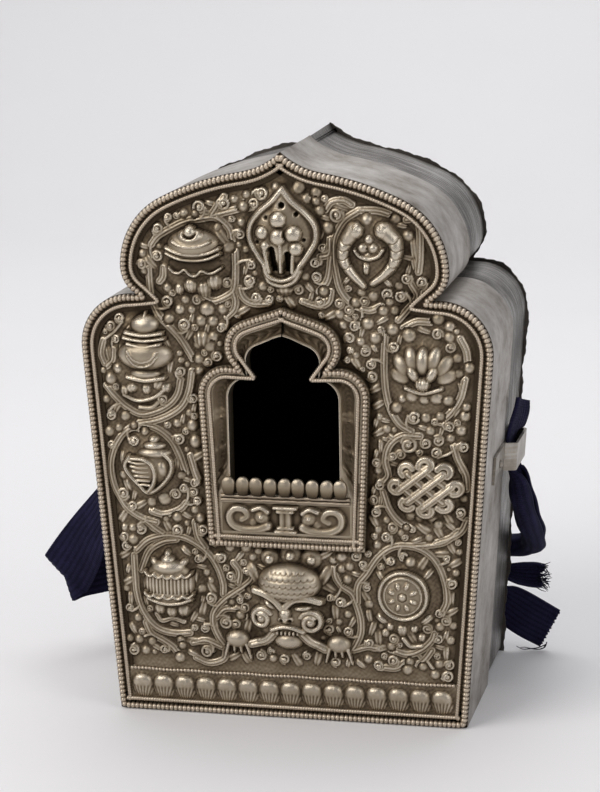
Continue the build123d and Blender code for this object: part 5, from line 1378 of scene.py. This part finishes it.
right_band = [
    (*beside_wall(1, 16.0, 105.0, 3.4), 0.12, 0.9, -0.42, 18, 0.2),
    (*beside_wall(1, 14.8, 101.0, 3.4), 0.14, 0.92, -0.3, 19, 0.15),
    (*beside_wall(1, 13.3, 95.0, 2.4), 0.12, 0.97, -0.15, 20, 0.05),
    (*beside_wall(1, 13.3, 91.0), 0, 1, 0, 20, 0), (*beside_wall(1, 13.3, 85.0), 0, 1, 0, 19.5, 0.0),
    (*beside_wall(1, 13.2, 81.0, 2.0), 0, 1, 0, 19.5, 0.25), (72.9, 13.4, 76.5, 0, 1, 0.1, 21, 0.8),
    (73.4, 17.0, 69.0, 0, 0.9, 0.4, 22.5, 1), (74.8, 25.5, 58.0, 0, 0.8, 0.6, 22.5, 1),
    (75.2, 36.5, 48.5, 0, 0.6, 0.8, 22.5, 1), (72.6, 46.4, 42.6, 0.1, 0.45, 0.9, 22, 1),
    (64.0, 52.0, 39.4, 0.1, 0.2, 1, 19, 1), (57.0, 52.0, 37.0, 0.1, 0.1, 1, 17, 1),
]
strap_right, strap_right_length = ribbed_band("strap_right", right_band)
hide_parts("strap_right_stub", "strap_right_loop")
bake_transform(strap_right)

left_band = [
    (*beside_wall(-1, 14.6, 105.0, 3.6), -0.22, 0.97, 0.02, 19.5, 0.10),
    (*beside_wall(-1, 14.0, 101.0, 2.6), -0.16, 0.98, 0.02, 20, 0.04),
    (*beside_wall(-1, 13.3, 95.0, 1.6), -0.06, 1, 0, 20, 0), (*beside_wall(-1, 13.3, 91.0), 0, 1, 0, 20, 0),
    (*beside_wall(-1, 13.3, 85.0), 0, 1, 0, 20, 0),
    (*beside_wall(-1, 13.3, 81.0, 1.8), -0.03, 1, 0.02, 20, 0), (-75.5, 14.6, 71.5, -0.2, 0.95, 0.25, 20, 0),
    (-83.5, 17.0, 58.5, -0.42, 0.72, 0.52, 20.5, 0), (-93.0, 19.8, 43.6, -0.56, 0.35, 0.72, 21, 0),
    (-100.4, 20.9, 31.8, -0.58, 0.06, 0.80, 21.4, 0), (-102.6, 21.9, 28.7, -0.58, 0, 0.80, 21.4, 0),
    (-101.6, 23.2, 28.6, -0.50, 0, 0.86, 21, 0), (-97.4, 26.4, 29.0, -0.16, 0, 1, 20, 0),
    (-90.0, 31.8, 29.4, 0, 0, 1, 20, 0), (-79.0, 43.2, 29.5, 0, 0, 1, 20, 0),
    (-73.4, 47.2, 29.5, 0, 0, 1, 20, 0), (-66.0, 48.6, 29.4, 0, 0, 1, 20, 0),
    (-58.0, 47.9, 29.4, 0, 0, 1, 20, 0), (-30.0, 47.5, 29.2, 0, 0, 1, 20, 0),
    (0.0, 47.5, 29.0, 0, 0, 1, 20, 0), (25.0, 47.6, 29.8, 0, 0, 1, 19.5, 0),
    (38.0, 48.2, 31.6, 0, 0, 1, 18, 0.12), (45.0, 50.0, 33.6, 0, 0.1, 1, 15, 0.5),
    (50.0, 51.0, 34.6, 0, 0.1, 1, 13, 0.8),
]
strap_left, strap_left_length = ribbed_band("strap_left", left_band)
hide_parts("strap_left_stub", "strap_left_drop", "strap_left_return", "strap_back_run")
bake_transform(strap_left)

t = np.linspace(0, 2 * np.pi, 25)[:-1] + 0.4
knot_band = [(53 + 1.75 * (np.sin(a) + 2 * np.sin(2 * a)), 51.2 - 2.0 * np.sin(3 * a),
              35 + 1.75 * (np.cos(a) - 2 * np.cos(2 * a)), 0.2 * np.sin(a), 1, 0.2 * np.cos(a), 15, 0.95)
             for a in np.concatenate([t, t[:1]])]
strap_knot, strap_knot_length = ribbed_band("strap_knot_wraps", knot_band)
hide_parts("strap_knot")

frayed_band = [(57.5, 51.0, 30.5, 0, 0.15, 1, 12, 0.9), (62.5, 51.1, 29.6, 0, 0.2, 1, 13, 0.8),
               (67.5, 51.2, 29.0, 0, 0.25, 1, 15, 0.6), (72.6, 51.2, 28.8, 0, 0.2, 1, 15, 0.45),
               (75.6, 51.1, 28.6, 0, 0.2, 1, 14.5, 0.42)]
strap_frayed, strap_frayed_length = ribbed_band("strap_frayed_tail", frayed_band, ragged=0.8)
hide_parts("strap_tail_frayed")

cut_band = [(56.0, 49.6, 27.0, 0.1, 0, 1, 10, 0.5), (59.5, 48.6, 21.0, 0.25, 0, 0.97, 14, 0.2),
            (64.5, 47.9, 17.4, 0.30, 0.03, 0.95, 16.5, 0.04), (71.5, 47.7, 13.2, 0.30, 0.05, 0.95, 17, 0),
            (79.7, 47.8, 8.9, 0.29, 0.05, 0.955, 16.4, 0)]
strap_cut, strap_cut_length = ribbed_band("strap_cut_tail", cut_band, ragged=0.25)
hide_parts("strap_tail_cut")


def threads(name, routes, radius, count=14):
    """Loose threads: a thin six-sided tube carried along each smooth route."""
    points, quads, first = [], [], 0
    angle = np.linspace(0, 2 * np.pi, 6, endpoint=False)
    for route in routes:
        path, _ = smooth_path(route, count)
        run = np.gradient(path, axis=0)
        run /= np.linalg.norm(run, axis=1)[:, None]
        side = np.cross(run, (0.31, 0.23, 0.92))
        side /= np.linalg.norm(side, axis=1)[:, None]
        over = np.cross(run, side)
        taper = (radius * (1 - 0.5 * np.linspace(0, 1, count) ** 3))[:, None, None]
        ring = path[:, None, :] + taper * (np.cos(angle)[None, :, None] * side[:, None, :]
                                           + np.sin(angle)[None, :, None] * over[:, None, :])
        points.append(ring.reshape(-1, 3))
        quads.append(grid_quads(count, 6, False, True, first=first))
        ends = np.array([[0, 1, 2, 3], [0, 3, 4, 5]])
        quads += [first + ends[:, ::-1], first + (count - 1) * 6 + ends]
        first += count * 6
    return put_mesh(name, np.concatenate(points), np.concatenate(quads))


dice = np.random.default_rng(7)
fray_routes = []
for _ in range(46):
    across = dice.uniform(-1, 1)
    swing = dice.normal(0, 1, 6)
    start = np.array([74.6 + 0.6 * swing[0], 51.2 + 1.9 * np.cos(across * 2.2) * np.sign(swing[1]),
                      28.7 + 4.6 * across])
    reach = 3.2 + 1.4 * dice.uniform()
    fray_routes.append((start, start + (reach * 0.5, 0.35 * swing[2], 0.5 * swing[3]),
                        start + (reach, 0.8 * swing[4], 1.1 * swing[5] + 0.8 * across)))
fray = threads("strap_fray", fray_routes, 0.19)
loose_routes = [
    ((77.9, 47.8, 2.6), (77.0, 47.6, 0.9), (74.0, 47.4, 0.5), (70.0, 47.0, 1.2), (68.4, 46.8, 0.9)),
    ((77.6, 47.9, 2.2), (75.0, 47.5, 1.1), (72.6, 47.0, 0.8), (69.6, 46.4, 0.6), (67.0, 46.6, 1.6)),
    ((78.4, 47.9, 3.4), (77.6, 48.3, 1.2), (76.0, 48.4, 0.6)),
]
loose = threads("strap_loose_ends", loose_routes, 0.22)

for cloth in (strap_right, strap_left, strap_knot, strap_frayed, strap_cut, fray, loose):
    cloth.data.materials.append(navy_cord)
for cloth in (strap_knot, strap_frayed, strap_cut, fray, loose):
    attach(cloth, "rear_pan")


# Floor: a pale paper sweep that runs level under the box and curves up behind it. It belongs to the stage,
# not to the object.

sweep_turn = np.linspace(0, np.pi / 2, 24)
sweep_reach, sweep_radius, sweep_start, sweep_top = 2600, 700, 900, 2400
bend = np.stack([sweep_start + sweep_radius * np.sin(sweep_turn),
                 sweep_radius * (1 - np.cos(sweep_turn))], 1)
profile = np.concatenate([[[-sweep_reach, 0.0]], bend, [[sweep_start + sweep_radius, sweep_top]]])
width_at = np.linspace(-sweep_reach, sweep_reach, 3)
points = np.stack(np.broadcast_arrays(width_at[None, :], profile[:, :1], profile[:, 1:] - 0.02), 2)
floor = put_mesh("paper_sweep", points, grid_quads(len(profile), 3)[:, ::-1])
paper, tree, principled = shader("pale_paper", colour=(0.80, 0.79, 0.80), roughness=0.9,
                                 Specular_IOR_Level=0.2)
colour_by(tree, principled, noise(tree, object_place(tree), 3.0, 3.0), (0.3, (0.765, 0.76, 0.768)),
          (0.7, (0.785, 0.78, 0.79)))
floor.data.materials.append(paper)


# Studio light: a soft key from the upper left front, a weak fill from the right, a broad overhead panel
# and an even grey surround.

def standing(side, over, away, place):
    """Matrix that puts an object at a place in metres, with its three axes along side, over and away."""
    return Matrix(np.vstack([np.column_stack([side, over, away, place]), (0, 0, 0, 1)]).tolist())


def soft_lamp(name, place, target, size, power, colour=(1, 1, 1)):
    """Square area lamp at a place in metres, facing a target."""
    lamp = bpy.data.lights.new(name, "AREA")
    lamp.size, lamp.energy, lamp.color = size, power, colour
    made = bpy.data.objects.new(name, lamp)
    away = np.subtract(place, target)
    away = away / np.linalg.norm(away)
    side = np.cross((0, 0, 1), away)
    side /= np.linalg.norm(side)
    made.matrix_world = standing(side, np.cross(away, side), away, place)
    bpy.context.scene.collection.objects.link(made)


soft_lamp("key", (-0.75, -0.85, 1.05), (0, 0, 0.1), 0.95, 10.5, (1.0, 0.97, 0.93))
soft_lamp("overhead", (-0.1, 0.55, 1.5), (0, 0.45, 0.1), 1.3, 13.5)
soft_lamp("fill", (1.3, -0.6, 0.8), (0, 0, 0.1), 0.9, 4.6)
surround = bpy.data.worlds.new("surround")
surround.use_nodes = True
surround.node_tree.nodes["Background"].inputs["Color"].default_value = (0.95, 0.95, 1.0, 1)
surround.node_tree.nodes["Background"].inputs["Strength"].default_value = 0.36
bpy.context.scene.world = surround
bpy.context.scene.view_settings.view_transform = "Standard"


# Camera: at the photograph's height and side, with its small roll. Place, turn and lens come from fitting the
# box's outline to the photograph.

camera_place = (0.20335, -0.87271, 0.31659)
azimuth, elevation, tilt = np.radians((13.36, 13.15, -1.16))
back = np.array([np.sin(azimuth) * np.cos(elevation), -np.cos(azimuth) * np.cos(elevation),
                 np.sin(elevation)])
right = np.cross((0, 0, 1), back)
right /= np.linalg.norm(right)
upward = np.cross(back, right)
rolled_right = right * np.cos(tilt) + upward * np.sin(tilt)
rolled_up = upward * np.cos(tilt) - right * np.sin(tilt)
camera_data = bpy.data.cameras.new("photo_camera")
camera_data.lens, camera_data.sensor_width, camera_data.sensor_fit = 117.13, 36.0, "AUTO"
camera_data.clip_start = 0.05
camera = bpy.data.objects.new("photo_camera", camera_data)
camera.matrix_world = standing(rolled_right, rolled_up, back, camera_place)
bpy.context.scene.collection.objects.link(camera)
bpy.context.scene.camera = camera

bpy.context.view_layer.update()
